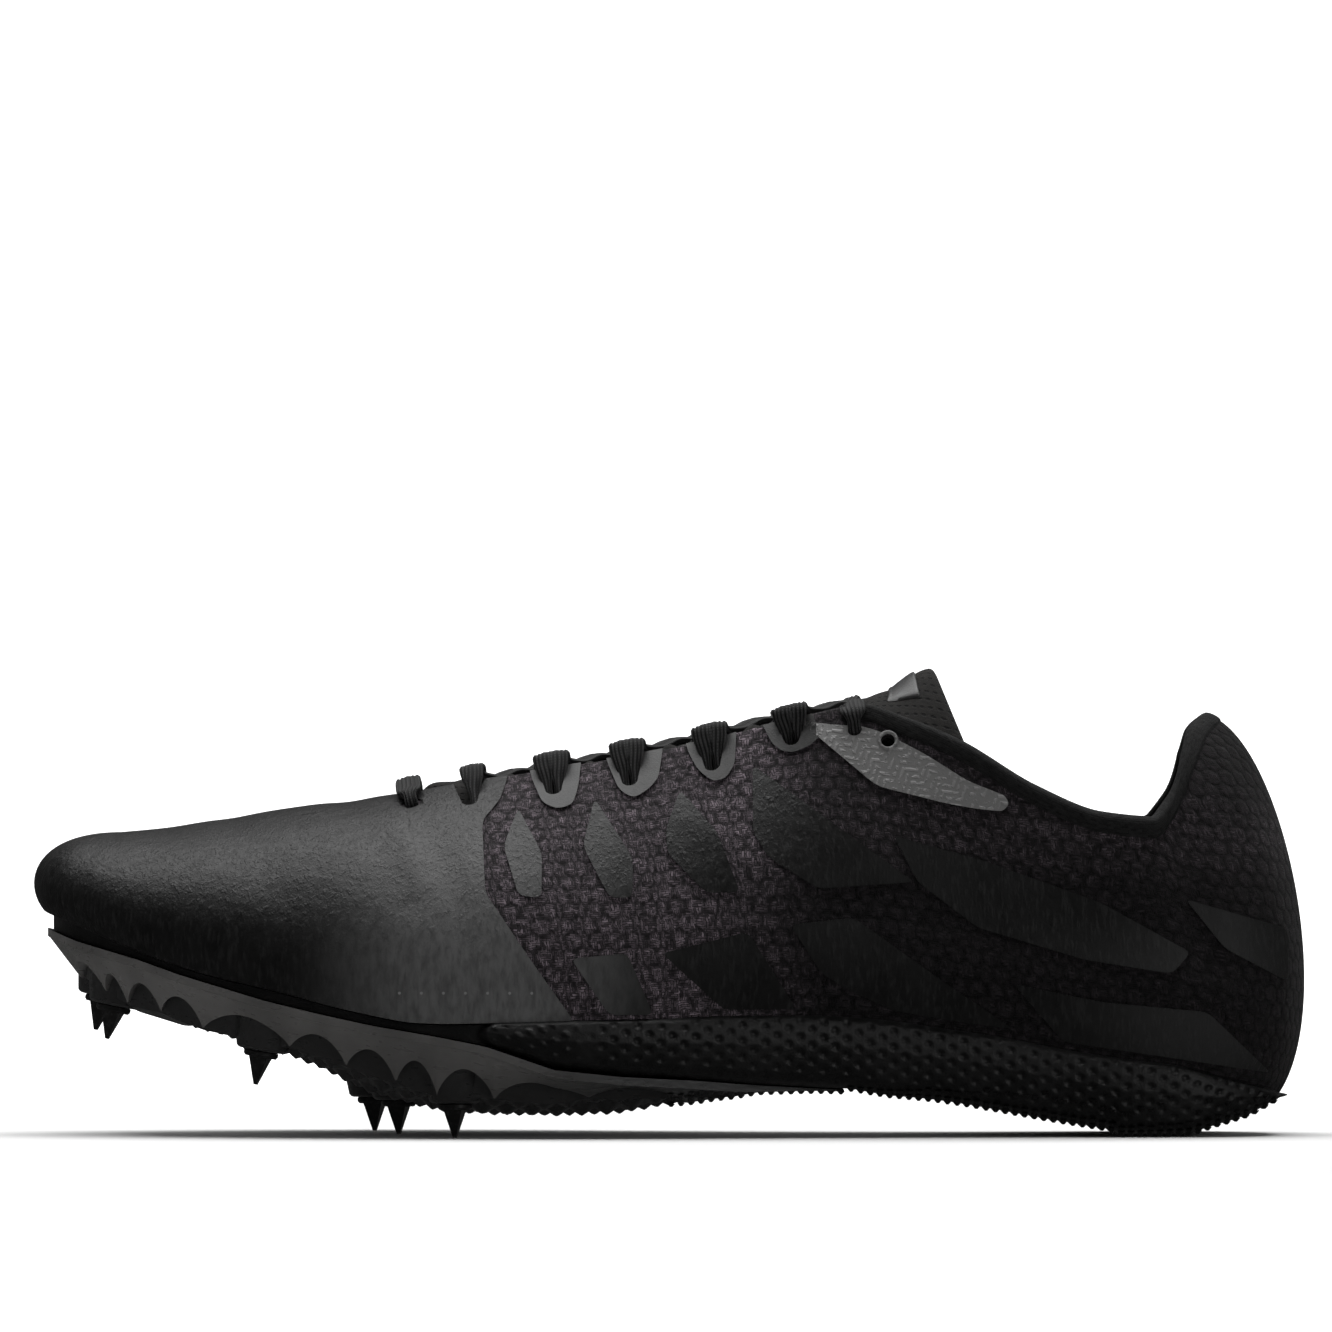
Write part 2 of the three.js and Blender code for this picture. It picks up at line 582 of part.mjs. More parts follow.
// The pin's own frame has its origin at the seat and its tip along -Z.
function pinMatrix(pin) {
  const turn = new THREE.Matrix4().makeRotationY(THREE.MathUtils.degToRad(pin.tilt));
  return turn.setPosition(TOE_X + pin.along * LENGTH, pin.across * BALL_WIDTH,
    pin.seat * HEEL_HEIGHT);
}

function buildPin(pin) {
  const profile = [
    [0, -GAP],
    [FLANGE_RADIUS, -GAP],
    [FLANGE_RADIUS * FLANGE_TAPER, -FLANGE_HEIGHT],
    [PIN_BASE / 2, -FLANGE_HEIGHT],
    [PIN_TIP / 2, -PIN_LENGTH - GAP],
    [0, -PIN_LENGTH - GAP],
  ].map(([radius, z]) => new THREE.Vector2(radius, z));
  const geometry = new THREE.LatheGeometry(profile, PIN_SIDES);
  geometry.rotateX(Math.PI / 2);
  return solidFromGeometry(geometry, pinMatrix(pin));
}

// Room around a pin, cut out of the plate below the pin's seat.
function pinRoom(pin) {
  const radius = FLANGE_RADIUS + PIN_CLEARANCE;
  const geometry = new THREE.CylinderGeometry(radius, radius + ROOM_SPREAD, ROOM_DEPTH, BOSS_SIDES);
  geometry.rotateX(Math.PI / 2);
  geometry.translate(0, 0, -ROOM_DEPTH / 2);
  return solidFromGeometry(geometry, pinMatrix(pin));
}

function pinBoss(pin) {
  const geometry = new THREE.CylinderGeometry(BOSS_RADIUS + BOSS_SPREAD, BOSS_RADIUS, BOSS_HEIGHT,
    BOSS_SIDES);
  geometry.rotateX(Math.PI / 2);
  geometry.translate(0, 0, BOSS_HEIGHT / 2);
  return solidFromGeometry(geometry, pinMatrix(pin));
}

const PLATE_END = 0.640; // share of LENGTH
const PLATE_TAPER = 0.36; // the plate draws in under the arch behind this share
const PLATE_DRAW = 7;
const PLATE_BACK = 0.4; // least height of the plate under its rim
const WALL_REACH = 0.35; // the side wall's inset stays under this share of the toe's round
const KEEL_SHARE = 0.5; // the keel's flat lies this far in from the rim, a share of half width
const KEEL_STEP = 2; // least width of the slope between wall and keel

function plateRim(x) {
  return soleHeight('rim', x) - GAP;
}

function buildPlate() {
  const draw = (row) => PLATE_INSET + PLATE_DRAW
    * THREE.MathUtils.smoothstep((rowX(row) - TOE_X) / LENGTH, PLATE_TAPER, PLATE_END);
  const halfWidth = (row) => footPoint(row).distanceTo(footPoint(RING - row)) / 2;
  const wallInset = (row) => draw(row) + Math.min(ridgeAt(rowX(row)).inset, WALL_REACH * TOE_ROUND);
  const keelInset = (row) => Math.max(wallInset(row) + KEEL_STEP, KEEL_SHARE * halfWidth(row));
  const lowRim = (x) => plateRim(x) - PLATE_RIM;
  const keel = (x) => Math.min(soleHeight('keel', x), lowRim(x) - PLATE_BACK);
  const foot = (x) => Math.max(keel(x), Math.min(plateRim(x) - ridgeAt(x).drop, lowRim(x) - PLATE_BACK));
  const levels = [
    { inset: draw, height: plateRim },
    { inset: draw, height: lowRim },
    { inset: wallInset, height: foot },
    { inset: keelInset, height: keel },
  ];
  const rows = [0];
  for (let i = 0; i + 1 < RIDGE_TABLE.length; i += 1) {
    for (let step = 0; step < RIDGE_STEPS; step += 1) {
      rows.push(rowAtShare(THREE.MathUtils.lerp(RIDGE_TABLE[i].along, RIDGE_TABLE[i + 1].along,
        step / RIDGE_STEPS)));
    }
  }
  rows.push(rowAtShare(PLATE_END));
  let solid = soleSolid(rows, levels);
  for (const pin of PIN_TABLE) solid = solid.add(pinBoss(pin));
  solid = solid.subtract(aboveRim());
  for (const pin of PIN_TABLE) solid = solid.subtract(pinRoom(pin));
  return solid;
}

// Everything above the plate's upper face, to trim the bosses' roots.
function aboveRim() {
  const inset = () => -BOSS_RADIUS;
  return soleSolid(rowsBetween(0, rowAtShare(PLATE_END), SOLE_STEP), [
    { inset, height: (x) => plateRim(x) + 2 * BOSS_HEIGHT },
    { inset, height: plateRim },
  ]);
}

const INSOLE_INSET = WALL + 3 * GAP; // clear of the wall's leaning inside

function buildInsole() {
  const inset = () => INSOLE_INSET;
  return soleSolid(rowsBetween(SOLE_STEP, ROWS - SOLE_STEP, SOLE_STEP), [
    { inset, height: (x) => seatHeight(x) + GAP + INSOLE },
    { inset, height: (x) => seatHeight(x) + GAP },
  ]);
}

// Tongue: flanks follow the inside of the upper, the crown rises between the throat edges.
// row: place along the rib table; flank: lowest share of the wall that it reaches
// back, rise: the crown's middle from the throat's edge, shares of LENGTH and HEEL_HEIGHT
// pad: thickness from TONGUE_FRONT (0) to TONGUE_TOP (1)
const TONGUE_CLEARANCE = 0.7; // between the upper's inside and the tongue
const EDGE_SHARE = 0.985; // the crown starts this far up the wall
const CROWN_FACING = new THREE.Vector3(-0.2, 0, 1); // the way the crown's middle faces
const TONGUE_TABLE = [
  { row: 8.5, flank: 0.84, back: 0, rise: -0.030, pad: 0 },
  { row: 9.0, flank: 0.80, back: 0, rise: -0.012, pad: 0 },
  { row: 9.5, flank: 0.78, back: 0, rise: 0.004, pad: 0 },
  { row: 10.0, flank: 0.77, back: 0, rise: 0.014, pad: 0 },
  { row: 11.0, flank: 0.76, back: 0, rise: 0.020, pad: 0 },
  { row: 12.0, flank: 0.76, back: 0, rise: 0.024, pad: 0.1 },
  { row: 13.0, flank: 0.76, back: 0, rise: 0.028, pad: 0.3 },
  { row: 14.0, flank: 0.77, back: 0, rise: 0.028, pad: 0.5 },
  { row: 15.0, flank: 0.78, back: 0.008, rise: 0.022, pad: 0.8 },
  { row: 15.6, flank: 0.80, back: 0.006, rise: 0.062, pad: 1 },
  { row: 16.1, flank: 0.82, back: -0.004, rise: 0.110, pad: 1 },
  { row: 16.6, flank: 0.84, back: -0.013, rise: 0.160, pad: 1 },
  { row: 17.1, flank: 0.86, back: -0.026, rise: 0.202, pad: 0.6 },
];

function tongueRow(row) {
  const last = TONGUE_TABLE.length - 1;
  let i = 0;
  while (i < last - 1 && TONGUE_TABLE[i + 1].row < row) i += 1;
  const a = TONGUE_TABLE[i];
  const b = TONGUE_TABLE[i + 1];
  const u = THREE.MathUtils.clamp((row - a.row) / (b.row - a.row), 0, 1);
  return Object.fromEntries(Object.keys(a).map((key) => [key, THREE.MathUtils.lerp(a[key], b[key], u)]));
}

// Outside of the tongue on one side of the shoe, at a share of the wall's height.
function tongueFlank(row, side, share) {
  const frame = edgeFrame(row, side, share);
  const depth = wallAt(row, share) + TONGUE_CLEARANCE;
  return { point: frame.origin.addScaledVector(frame.normal, -depth), normal: frame.normal };
}

// Outside of the tongue between the throat edges; across runs from -1 to 1.
function tongueCrown(row, across) {
  const shape = tongueRow(row);
  const edges = SIDES.map(({ side }) => tongueFlank(row, side, EDGE_SHARE));
  const middle = new THREE.Vector3(
    ringValue('topX', row) + shape.back * LENGTH,
    (edges[0].point.y + edges[1].point.y) / 2,
    ringValue('topZ', row) + shape.rise * HEEL_HEIGHT);
  const edge = edges[across < 0 ? 0 : 1];
  const bend = across * across;
  return {
    point: new THREE.Vector3(
      THREE.MathUtils.lerp(middle.x, edge.point.x, bend),
      THREE.MathUtils.lerp(middle.y, edge.point.y, Math.abs(across)),
      THREE.MathUtils.lerp(middle.z, edge.point.z, bend)),
    normal: CROWN_FACING.clone().lerp(edge.normal, bend).normalize(),
  };
}

const CROWN_SPREAD = [-0.66, -0.33, 0, 0.33, 0.66]; // sections' corners across the crown

function buildTongue() {
  const loops = TONGUE_TABLE.map(({ row, flank, pad }) => {
    const thickness = THREE.MathUtils.lerp(TONGUE_FRONT, TONGUE_TOP, pad);
    const flankAt = (side) => [flank, (flank + EDGE_SHARE) / 2, EDGE_SHARE]
      .map((share) => tongueFlank(row, side, share));
    const section = [
      ...flankAt(-1),
      ...CROWN_SPREAD.map((across) => tongueCrown(row, across)),
      ...flankAt(1).reverse(),
    ];
    const inner = section.map(({ point, normal }) => point.clone().addScaledVector(normal, -thickness));
    return [...section.map(({ point }) => point), ...inner.reverse()];
  });
  return loft(loops);
}

// Laces: flat bands that cross over the tongue between the notches, joined into one net.
const LACE_ROWS = [9.1, ...NOTCH_ROWS, 14.85];
const LACE_REACH = 0.72; // how far towards the throat's edge the solid bands run
const LACE_FLOAT = 0.6; // the bands' straight parts pass over the crown's bend
const LACE_LIFT = GAP + LACE_FLOAT;
const LACE_START = 0.55; // rows between the first holes and the first bar over the tongue
const LACE_STEPS = 3; // sections of a band

function laceBand(fromRow, toRow, fromSide, reach) {
  const steps = LACE_STEPS;
  const centres = [];
  for (let step = 0; step <= steps; step += 1) {
    const share = step / steps;
    const row = THREE.MathUtils.lerp(fromRow, toRow, share);
    const { point, normal } = tongueCrown(row, fromSide * reach * (1 - 2 * share));
    centres.push({ point: point.addScaledVector(normal, LACE_LIFT + LACE_THICKNESS / 2), normal });
  }
  const loops = centres.map(({ point, normal }, index) => {
    const before = centres[Math.max(0, index - 1)].point;
    const after = centres[Math.min(steps, index + 1)].point;
    const across = after.clone().sub(before).cross(normal).setLength(LACE_WIDTH / 2);
    const up = normal.clone().setLength(LACE_THICKNESS / 2);
    const corner = (side, lift) => point.clone().addScaledVector(across, side).addScaledVector(up, lift);
    return [corner(-1, 1), corner(1, 1), corner(1, -1), corner(-1, -1)];
  });
  return loft(loops);
}

function buildLaces() {
  let net = laceBand(LACE_ROWS[0] + LACE_START, LACE_ROWS[0] + LACE_START, -1, LACE_REACH);
  for (let i = 0; i + 1 < LACE_ROWS.length; i += 1) {
    const from = i === 0 ? LACE_ROWS[0] + LACE_START : LACE_ROWS[i];
    for (const side of [-1, 1]) {
      net = net.add(laceBand(from, LACE_ROWS[i + 1], side, LACE_REACH));
    }
  }
  return net;
}

// Outlines of the overlays as seen from the side. Each corner is a share of LENGTH from
// the toe tip and a share of HEEL_HEIGHT above the floor.
const TOE_FILM = [[-0.01, 0.45], [-0.01, 0.90], [0.299, 0.90], [0.346, 0.773], [0.355, 0.740],
  [0.360, 0.580], [0.396, 0.420], [0.429, 0.279], [0.417, 0.177], [0.212, 0.177]];
const FILM_TABLE = [
  { name: 'fin_1', corners: [[0.385, 0.780], [0.404, 0.673], [0.404, 0.568], [0.386, 0.573],
    [0.374, 0.690]] },
  { name: 'fin_2', corners: [[0.445, 0.802], [0.475, 0.663], [0.475, 0.568], [0.457, 0.568],
    [0.436, 0.690]] },
  { name: 'fin_3', corners: [[0.512, 0.823], [0.541, 0.723], [0.559, 0.580], [0.532, 0.580],
    [0.502, 0.673],
    [0.501, 0.730]] },
  { name: 'fin_4', corners: [[0.569, 0.881], [0.695, 0.604], [0.620, 0.589], [0.581, 0.663],
    [0.569, 0.723]] },
  { name: 'fin_5', corners: [[0.679, 0.714], [0.750, 0.654], [0.842, 0.554], [0.912, 0.437],
    [0.897, 0.387],
    [0.829, 0.420], [0.745, 0.496], [0.698, 0.604]] },
  { name: 'low_1', corners: [[0.427, 0.425], [0.471, 0.437], [0.491, 0.292], [0.457, 0.292]] },
  { name: 'low_2', corners: [[0.498, 0.437], [0.565, 0.487], [0.603, 0.304], [0.546, 0.304]] },
  { name: 'low_3', corners: [[0.598, 0.504], [0.648, 0.520], [0.717, 0.370], [0.773, 0.256],
    [0.733, 0.272],
    [0.679, 0.300], [0.646, 0.346], [0.623, 0.387]] },
  { name: 'heel_low', corners: [[0.773, 0.363], [0.842, 0.320], [0.925, 0.296], [0.976, 0.150],
    [0.907, 0.183],
    [0.812, 0.226]] },
  { name: 'heel_high', corners: [[0.908, 0.563], [0.990, 0.492], [0.990, 0.366], [0.939, 0.446]] },
];
const STAY_PANEL = [[0.605, 0.986], [0.633, 0.976], [0.654, 0.974], [0.672, 0.957], [0.704, 0.907],
  [0.738, 0.842], [0.766, 0.809], [0.770, 0.790], [0.765, 0.771], [0.746, 0.776], [0.720, 0.790],
  [0.698, 0.807], [0.666, 0.831], [0.616, 0.959]];
const SIDE_REACH = BALL_WIDTH; // further out than either side of the shoe

// A prism through one side of the shoe, or through both sides.
function sidePrism(corners, first, last) {
  const shape = new THREE.Shape(corners.map(([along, height]) =>
    new THREE.Vector2(TOE_X + along * LENGTH, height * HEEL_HEIGHT)));
  const geometry = new THREE.ExtrudeGeometry(shape, { depth: last - first, bevelEnabled: false });
  geometry.rotateX(Math.PI / 2);
  geometry.translate(0, last, 0);
  return solidFromGeometry(geometry);
}

const filmLayer = skinShell(() => GAP, () => GAP + FILM);
const stayLayer = skinShell(() => GAP, () => GAP + STAY);

function sideCut(layer, corners, side) {
  const [first, last] = side < 0 ? [-SIDE_REACH, 0] : [0, SIDE_REACH];
  return layer.intersect(sidePrism(corners, first, last));
}

function buildStayPanel(side) {
  let solid = sideCut(stayLayer, STAY_PANEL, side);
  for (const { row, share } of CLOSED_HOLES) {
    solid = solid.subtract(holeSolid(row, side, share, EYELET_HOLE, CUT_REACH));
  }
  return solid;
}

const group = new THREE.Group();

function addNode(name, solid, material) {
  const mesh = solid.getMesh();
  const stride = mesh.numProp;
  const count = mesh.vertProperties.length / stride;
  const positions = new Float32Array(count * 3);
  for (let i = 0; i < count; i += 1) {
    for (let k = 0; k < 3; k += 1) positions[3 * i + k] = mesh.vertProperties[stride * i + k];
  }
  const geometry = new THREE.BufferGeometry();
  geometry.setAttribute('position', new THREE.BufferAttribute(positions, 3));
  geometry.setIndex(new THREE.BufferAttribute(new Uint32Array(mesh.triVerts), 1));
  geometry.computeVertexNormals();
  const node = new THREE.Mesh(geometry, material);
  node.name = name;
  group.add(node);
}

function material(color, roughness, metalness = 0) {
  return new THREE.MeshStandardMaterial({ color, roughness, metalness });
}

const knit = material(0x17151b, 0.9);
const film = material(0x24232a, 0.5);
const stay = material(0x8d8d92, 0.6);
const foam = material(0x1b1a1f, 0.8);
const plastic = material(0x1c1b20, 0.35);
const cord = material(0x0e0e10, 0.85);
const metal = material(0x121214, 0.4, 0.6);

addNode('upper', buildUpper(), knit);
addNode('midsole', buildMidsole(), foam);
addNode('spike_plate', buildPlate(), plastic);
addNode('insole', buildInsole(), knit);
addNode('tongue', buildTongue(), knit);
addNode('laces', buildLaces(), cord);
for (const pin of PIN_TABLE) addNode(`pin_${pin.name}`, buildPin(pin), metal);
addNode('film_toe', filmLayer.intersect(sidePrism(TOE_FILM, -SIDE_REACH, SIDE_REACH)), film);
for (const { name, side } of SIDES) {
  for (const { name: panel, corners } of FILM_TABLE) {
    addNode(`film_${panel}_${name}`, sideCut(filmLayer, corners, side), film);
  }
  addNode(`eyestay_${name}`, buildStayPanel(side), stay);
}

export default group;
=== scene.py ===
# %% [markdown]
# # A left track spike shoe
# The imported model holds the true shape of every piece. This script dresses it: fine surfaces
# over the same last, thin films on the knit, laces through their notches, and materials.
# Everything is in metres. The toe points along -X, the outer side is -Y, Z is up, and the
# origin is on the floor under the heel.

# %% The frame and its box
import math

import bmesh
import bpy
import numpy as np
from mathutils import Matrix, Vector


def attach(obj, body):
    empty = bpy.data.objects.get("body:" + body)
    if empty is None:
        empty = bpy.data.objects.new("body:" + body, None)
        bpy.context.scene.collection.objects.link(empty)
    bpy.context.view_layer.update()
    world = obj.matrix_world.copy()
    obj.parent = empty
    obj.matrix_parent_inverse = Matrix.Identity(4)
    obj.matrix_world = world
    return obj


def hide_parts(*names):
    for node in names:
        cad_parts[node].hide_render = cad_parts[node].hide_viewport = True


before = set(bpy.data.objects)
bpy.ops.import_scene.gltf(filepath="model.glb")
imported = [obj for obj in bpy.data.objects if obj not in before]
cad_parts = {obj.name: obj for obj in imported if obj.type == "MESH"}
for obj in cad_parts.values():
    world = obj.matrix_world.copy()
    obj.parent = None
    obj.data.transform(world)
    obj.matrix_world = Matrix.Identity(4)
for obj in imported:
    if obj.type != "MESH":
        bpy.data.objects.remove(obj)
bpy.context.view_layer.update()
MM = 0.001

# %% [markdown]
# ## The camera
# The photograph looks at the outer side from far away and almost level, so the far collar
# hides behind the near one. A long lens a few metres away gives that flat look. One pixel
# of the 1332 pixel frame is 0.225 mm at the shoe's middle plane.

# %% Camera
FRAME_PIXELS = 1332
PIXEL = 0.225 * MM
VIEW_MIDDLE = Vector((-0.1100, 0, 0.1053))
CAMERA_DISTANCE = 3.5
CAMERA_HEIGHT = 0.085
SENSOR = 36

camera = bpy.data.objects.new("camera", bpy.data.cameras.new("camera"))
bpy.context.scene.collection.objects.link(camera)
bpy.context.scene.camera = camera
camera.location = (VIEW_MIDDLE.x, -CAMERA_DISTANCE, CAMERA_HEIGHT)
camera.rotation_euler = (VIEW_MIDDLE - camera.location).to_track_quat("-Z", "Y").to_euler()
camera.data.sensor_width = SENSOR
camera.data.lens = SENSOR * CAMERA_DISTANCE / (FRAME_PIXELS * PIXEL)
camera.data.clip_end = 50
print("lens in mm:", round(camera.data.lens))

# %% [markdown]
# ## Material helpers
# Every finish is a Principled shader with a pattern in front of it. Small helpers keep each
# recipe short: one adds a node, others work on numbers and vectors, one makes the shader.

# %% Helpers for materials
def add_node(tree, kind, values=(), **settings):
    """Add a node, set its properties and then its inputs. A value may be another output."""
    node = tree.nodes.new(kind)
    for name, value in settings.items():
        setattr(node, name, value)
    for name, value in dict(values).items():
        if isinstance(value, bpy.types.NodeSocket):
            tree.links.new(value, node.inputs[name])
        else:
            node.inputs[name].default_value = value
    return node


def sum_of(tree, operation, *terms):
    """One number worked out from others."""
    return add_node(tree, "ShaderNodeMath", dict(enumerate(terms)), operation=operation).outputs[0]


def product(tree, *terms):
    """The product of two or more numbers."""
    result = terms[0]
    for term in terms[1:]:
        result = sum_of(tree, "MULTIPLY", result, term)
    return result


def plus(tree, *terms):
    """The sum of two or more numbers."""
    result = terms[0]
    for term in terms[1:]:
        result = sum_of(tree, "ADD", result, term)
    return result


def axes(tree, vector):
    """The three numbers of a vector, by the names X, Y and Z."""
    return add_node(tree, "ShaderNodeSeparateXYZ", {0: vector}).outputs


def vector_of(tree, operation, *terms):
    """One vector worked out from others."""
    node = add_node(tree, "ShaderNodeVectorMath", dict(enumerate(terms)), operation=operation)
    return node.outputs["Value" if operation in ("LENGTH", "DOT_PRODUCT") else 0]


def fade(tree, value, low, high, start=0.0, end=1.0):
    """A value between low and high turned into one between start and end, smoothly."""
    values = {"Value": value, "From Min": low, "From Max": high, "To Min": start, "To Max": end}
    return add_node(tree, "ShaderNodeMapRange", values, interpolation_type="SMOOTHSTEP").outputs[0]


def noise(tree, vector, scale, detail=2.0, roughness=0.5):
    """Soft random values from 0 to 1."""
    values = {"Vector": vector, "Scale": scale, "Detail": detail, "Roughness": roughness}
    return add_node(tree, "ShaderNodeTexNoise", values).outputs[0]


def blend_colour(tree, factor, first, second):
    """Two colours mixed by a factor."""
    node = add_node(tree, "ShaderNodeMix", data_type="RGBA")
    for index, value in ((0, factor), (6, first), (7, second)):
        if isinstance(value, bpy.types.NodeSocket):
            tree.links.new(value, node.inputs[index])
        else:
            node.inputs[index].default_value = value
    return node.outputs[2]


def purple(level):
    """A linear grey with a purple tint."""
    return (level * 1.09, level * 0.90, level * 1.03, 1)


def zone(tree, place, centre, reach):
    """One around a place on the side of the shoe, falling softly to zero at its reach in mm."""
    seen = vector_of(tree, "MULTIPLY", place, (1, 0, 1))
    away = vector_of(tree, "LENGTH", vector_of(tree, "SUBTRACT", seen, (centre[0], 0.0, centre[1])))
    return fade(tree, away, 0.2 * reach, reach, 1.0, 0.0)


def grey(level, warm=0.0):
    """A linear grey, a little warmer or cooler."""
    return (level * (1 + warm), level, level * (1 - warm), 1)


def finish_material(name, build, **constants):
    """A material whose build function returns what feeds its colour, roughness and bump."""
    material = bpy.data.materials.new(name)
    material.use_nodes = True
    tree = material.node_tree
    shader = tree.nodes["Principled BSDF"]
    for socket, value in constants.items():
        shader.inputs[socket.replace("_", " ")].default_value = value
    made = build(tree)
    if "colour" in made:
        tree.links.new(made["colour"], shader.inputs["Base Color"])
    if "roughness" in made:
        tree.links.new(made["roughness"], shader.inputs["Roughness"])
    if "height" in made:
        values = {"Height": made["height"], "Strength": 1.0, "Distance": made["depth"]}
        bump = add_node(tree, "ShaderNodeBump", values)
        tree.links.new(bump.outputs[0], shader.inputs["Normal"])
    return material


def place_in_mm(tree):
    """Object coordinates in millimetres."""
    place = add_node(tree, "ShaderNodeTexCoord").outputs["Object"]
    return vector_of(tree, "MULTIPLY", place, (1000, 1000, 1000))


def cloth_in_mm(tree):
    """The piece's own cloth map, which runs along and up the surface in millimetres."""
    place = add_node(tree, "ShaderNodeUVMap", uv_map="cloth").outputs[0]
    return vector_of(tree, "MULTIPLY", place, (1000, 1000, 1000))


# %% [markdown]
# ## The last in numbers
# A shoe is built on a last, a solid foot form. Here the last is a ring of ribs: each rib
# starts at the edge of the sole and climbs to the throat or the collar. The table repeats
# the one in the part's source, as shares of the shoe's length, ball width and heel height,
# so the fine surfaces lie where the solids are. Smooth curves join the rows of the table.

# %% Sizes of the last
LENGTH = 285 * MM
BALL_WIDTH = 93 * MM
HEEL_HEIGHT = 94.3 * MM
HEEL_SETBACK = 32.2 * MM
TOE_ROUND = 34 * MM
HEEL_ROUND = 26 * MM
TOE_X = HEEL_SETBACK - LENGTH
HEEL_X = HEEL_SETBACK
GAP = 0.3 * MM
SEAT_GAP = 0.4 * MM
WALL = 1.6 * MM
COLLAR_WALL = 3.8 * MM

RIB_COLUMNS = ["along", "out", "inn", "foot", "top_along", "top_height", "half", "ridge",
               "lean_out", "lean_inn", "low", "high", "tilt", "turn"]
RIB_TABLE = np.array([
    [0.010, -0.108, 0.108, 0.535, 0.070, 0.716, 0.000, 0.100, 40, 40, 0.33, 0.80, 0, 0],
    [0.014, -0.010, 0.204, 0.530, 0.070, 0.716, 0.000, 0.100, 38, 38, 0.33, 0.78, 0, 32],
    [0.027, 0.100, 0.274, 0.516, 0.070, 0.716, 0.000, 0.100, 34, 34, 0.33, 0.70, 0, 55],
    [0.051, 0.183, 0.339, 0.487, 0.070, 0.716, 0.000, 0.100, 28, 26, 0.34, 0.58, 0, 75],
    [0.089, 0.263, 0.409, 0.439, 0.105, 0.726, 0.000, 0.092, 22, 20, 0.35, 0.50, 0, 88],
    [0.141, 0.339, 0.457, 0.387, 0.147, 0.747, 0.000, 0.080, 18, 16, 0.36, 0.45, 0, 90],
    [0.196, 0.398, 0.487, 0.348, 0.197, 0.771, 0.000, 0.064, 15, 13, 0.36, 0.42, 0, 90],
    [0.251, 0.446, 0.498, 0.305, 0.247, 0.792, 0.000, 0.045, 13, 12, 0.37, 0.40, 0, 90],
    [0.306, 0.484, 0.491, 0.274, 0.292, 0.809, 0.000, 0.030, 11, 12, 0.38, 0.38, 0, 90],
    [0.330, 0.493, 0.478, 0.272, 0.298, 0.811, 0.066, 0.024, 11, 13, 0.38, 0.37, 14, 90],
    [0.366, 0.501, 0.462, 0.274, 0.346, 0.838, 0.118, 0.018, 11, 15, 0.39, 0.36, 26, 90],
    [0.429, 0.495, 0.409, 0.279, 0.409, 0.869, 0.136, 0.012, 12, 18, 0.40, 0.36, 32, 90],
    [0.492, 0.466, 0.344, 0.282, 0.472, 0.900, 0.148, 0.006, 14, 22, 0.40, 0.36, 38, 90],
    [0.555, 0.425, 0.290, 0.289, 0.537, 0.940, 0.160, 0.000, 16, 25, 0.40, 0.36, 44, 90],
    [0.615, 0.385, 0.255, 0.289, 0.603, 0.990, 0.182, 0.000, 17, 26, 0.40, 0.36, 52, 90],
    [0.674, 0.353, 0.237, 0.277, 0.651, 1.017, 0.212, 0.000, 18, 25, 0.38, 0.34, 62, 90],
    [0.717, 0.335, 0.239, 0.258, 0.690, 0.979, 0.245, 0.000, 17, 22, 0.36, 0.32, 74, 90],
    [0.765, 0.325, 0.253, 0.236, 0.734, 0.919, 0.270, 0.000, 16, 18, 0.34, 0.30, 82, 90],
    [0.812, 0.322, 0.276, 0.208, 0.790, 0.816, 0.296, 0.000, 15, 15, 0.32, 0.30, 86, 90],
    [0.859, 0.323, 0.299, 0.186, 0.842, 0.752, 0.304, 0.000, 14, 14, 0.32, 0.30, 88, 92],
    [0.903, 0.311, 0.298, 0.169, 0.882, 0.740, 0.286, 0.000, 16, 16, 0.32, 0.30, 84, 100],
    [0.938, 0.274, 0.269, 0.141, 0.899, 0.797, 0.236, 0.000, 20, 20, 0.31, 0.28, 68, 118],
    [0.964, 0.215, 0.215, 0.122, 0.911, 0.905, 0.160, 0.000, 26, 26, 0.30, 0.24, 44, 145],
    [0.978, 0.145, 0.145, 0.110, 0.919, 0.971, 0.086, 0.000, 31, 31, 0.29, 0.22, 26, 164],
    [0.985, 0.000, 0.000, 0.098, 0.929, 1.000, 0.000, 0.000, 34, 34, 0.28, 0.20, 16, 180],
])
ROWS = len(RIB_TABLE) - 1
RING = 2 * ROWS
THROAT_ROW = 8
CORNER_ROW = 15


# %% The ring of ribs
def ring_columns():
    """The table as a closed ring: outer side from toe to heel, then the inner side back."""
    rows = np.concatenate([np.arange(ROWS + 1), np.arange(ROWS - 1, 0, -1)])
    outer = np.arange(RING) <= ROWS
    value = {name: RIB_TABLE[rows, k] for k, name in enumerate(RIB_COLUMNS)}
    side = np.where(outer, -1, 1) * ((rows > 0) & (rows < ROWS))
    return {
        "foot_x": TOE_X + value["along"] * LENGTH,
        "foot_y": np.where(outer, -value["out"], value["inn"]) * BALL_WIDTH,
        "middle_y": (value["inn"] - value["out"]) * BALL_WIDTH / 2,
        "foot_z": value["foot"] * HEEL_HEIGHT,
        "top_x": TOE_X + value["top_along"] * LENGTH,
        "ridge_y": value["ridge"] * BALL_WIDTH,
        "half_y": side * value["half"] * BALL_WIDTH,
        "top_z": value["top_height"] * HEEL_HEIGHT,
        "lean": np.radians(np.where(outer, value["lean_out"], value["lean_inn"])),
        "low": value["low"],
        "high": value["high"],
        "tilt": np.radians(value["tilt"]),
        "turn": np.where(outer, np.radians(value["turn"]), 2 * math.pi - np.radians(value["turn"])),
    }


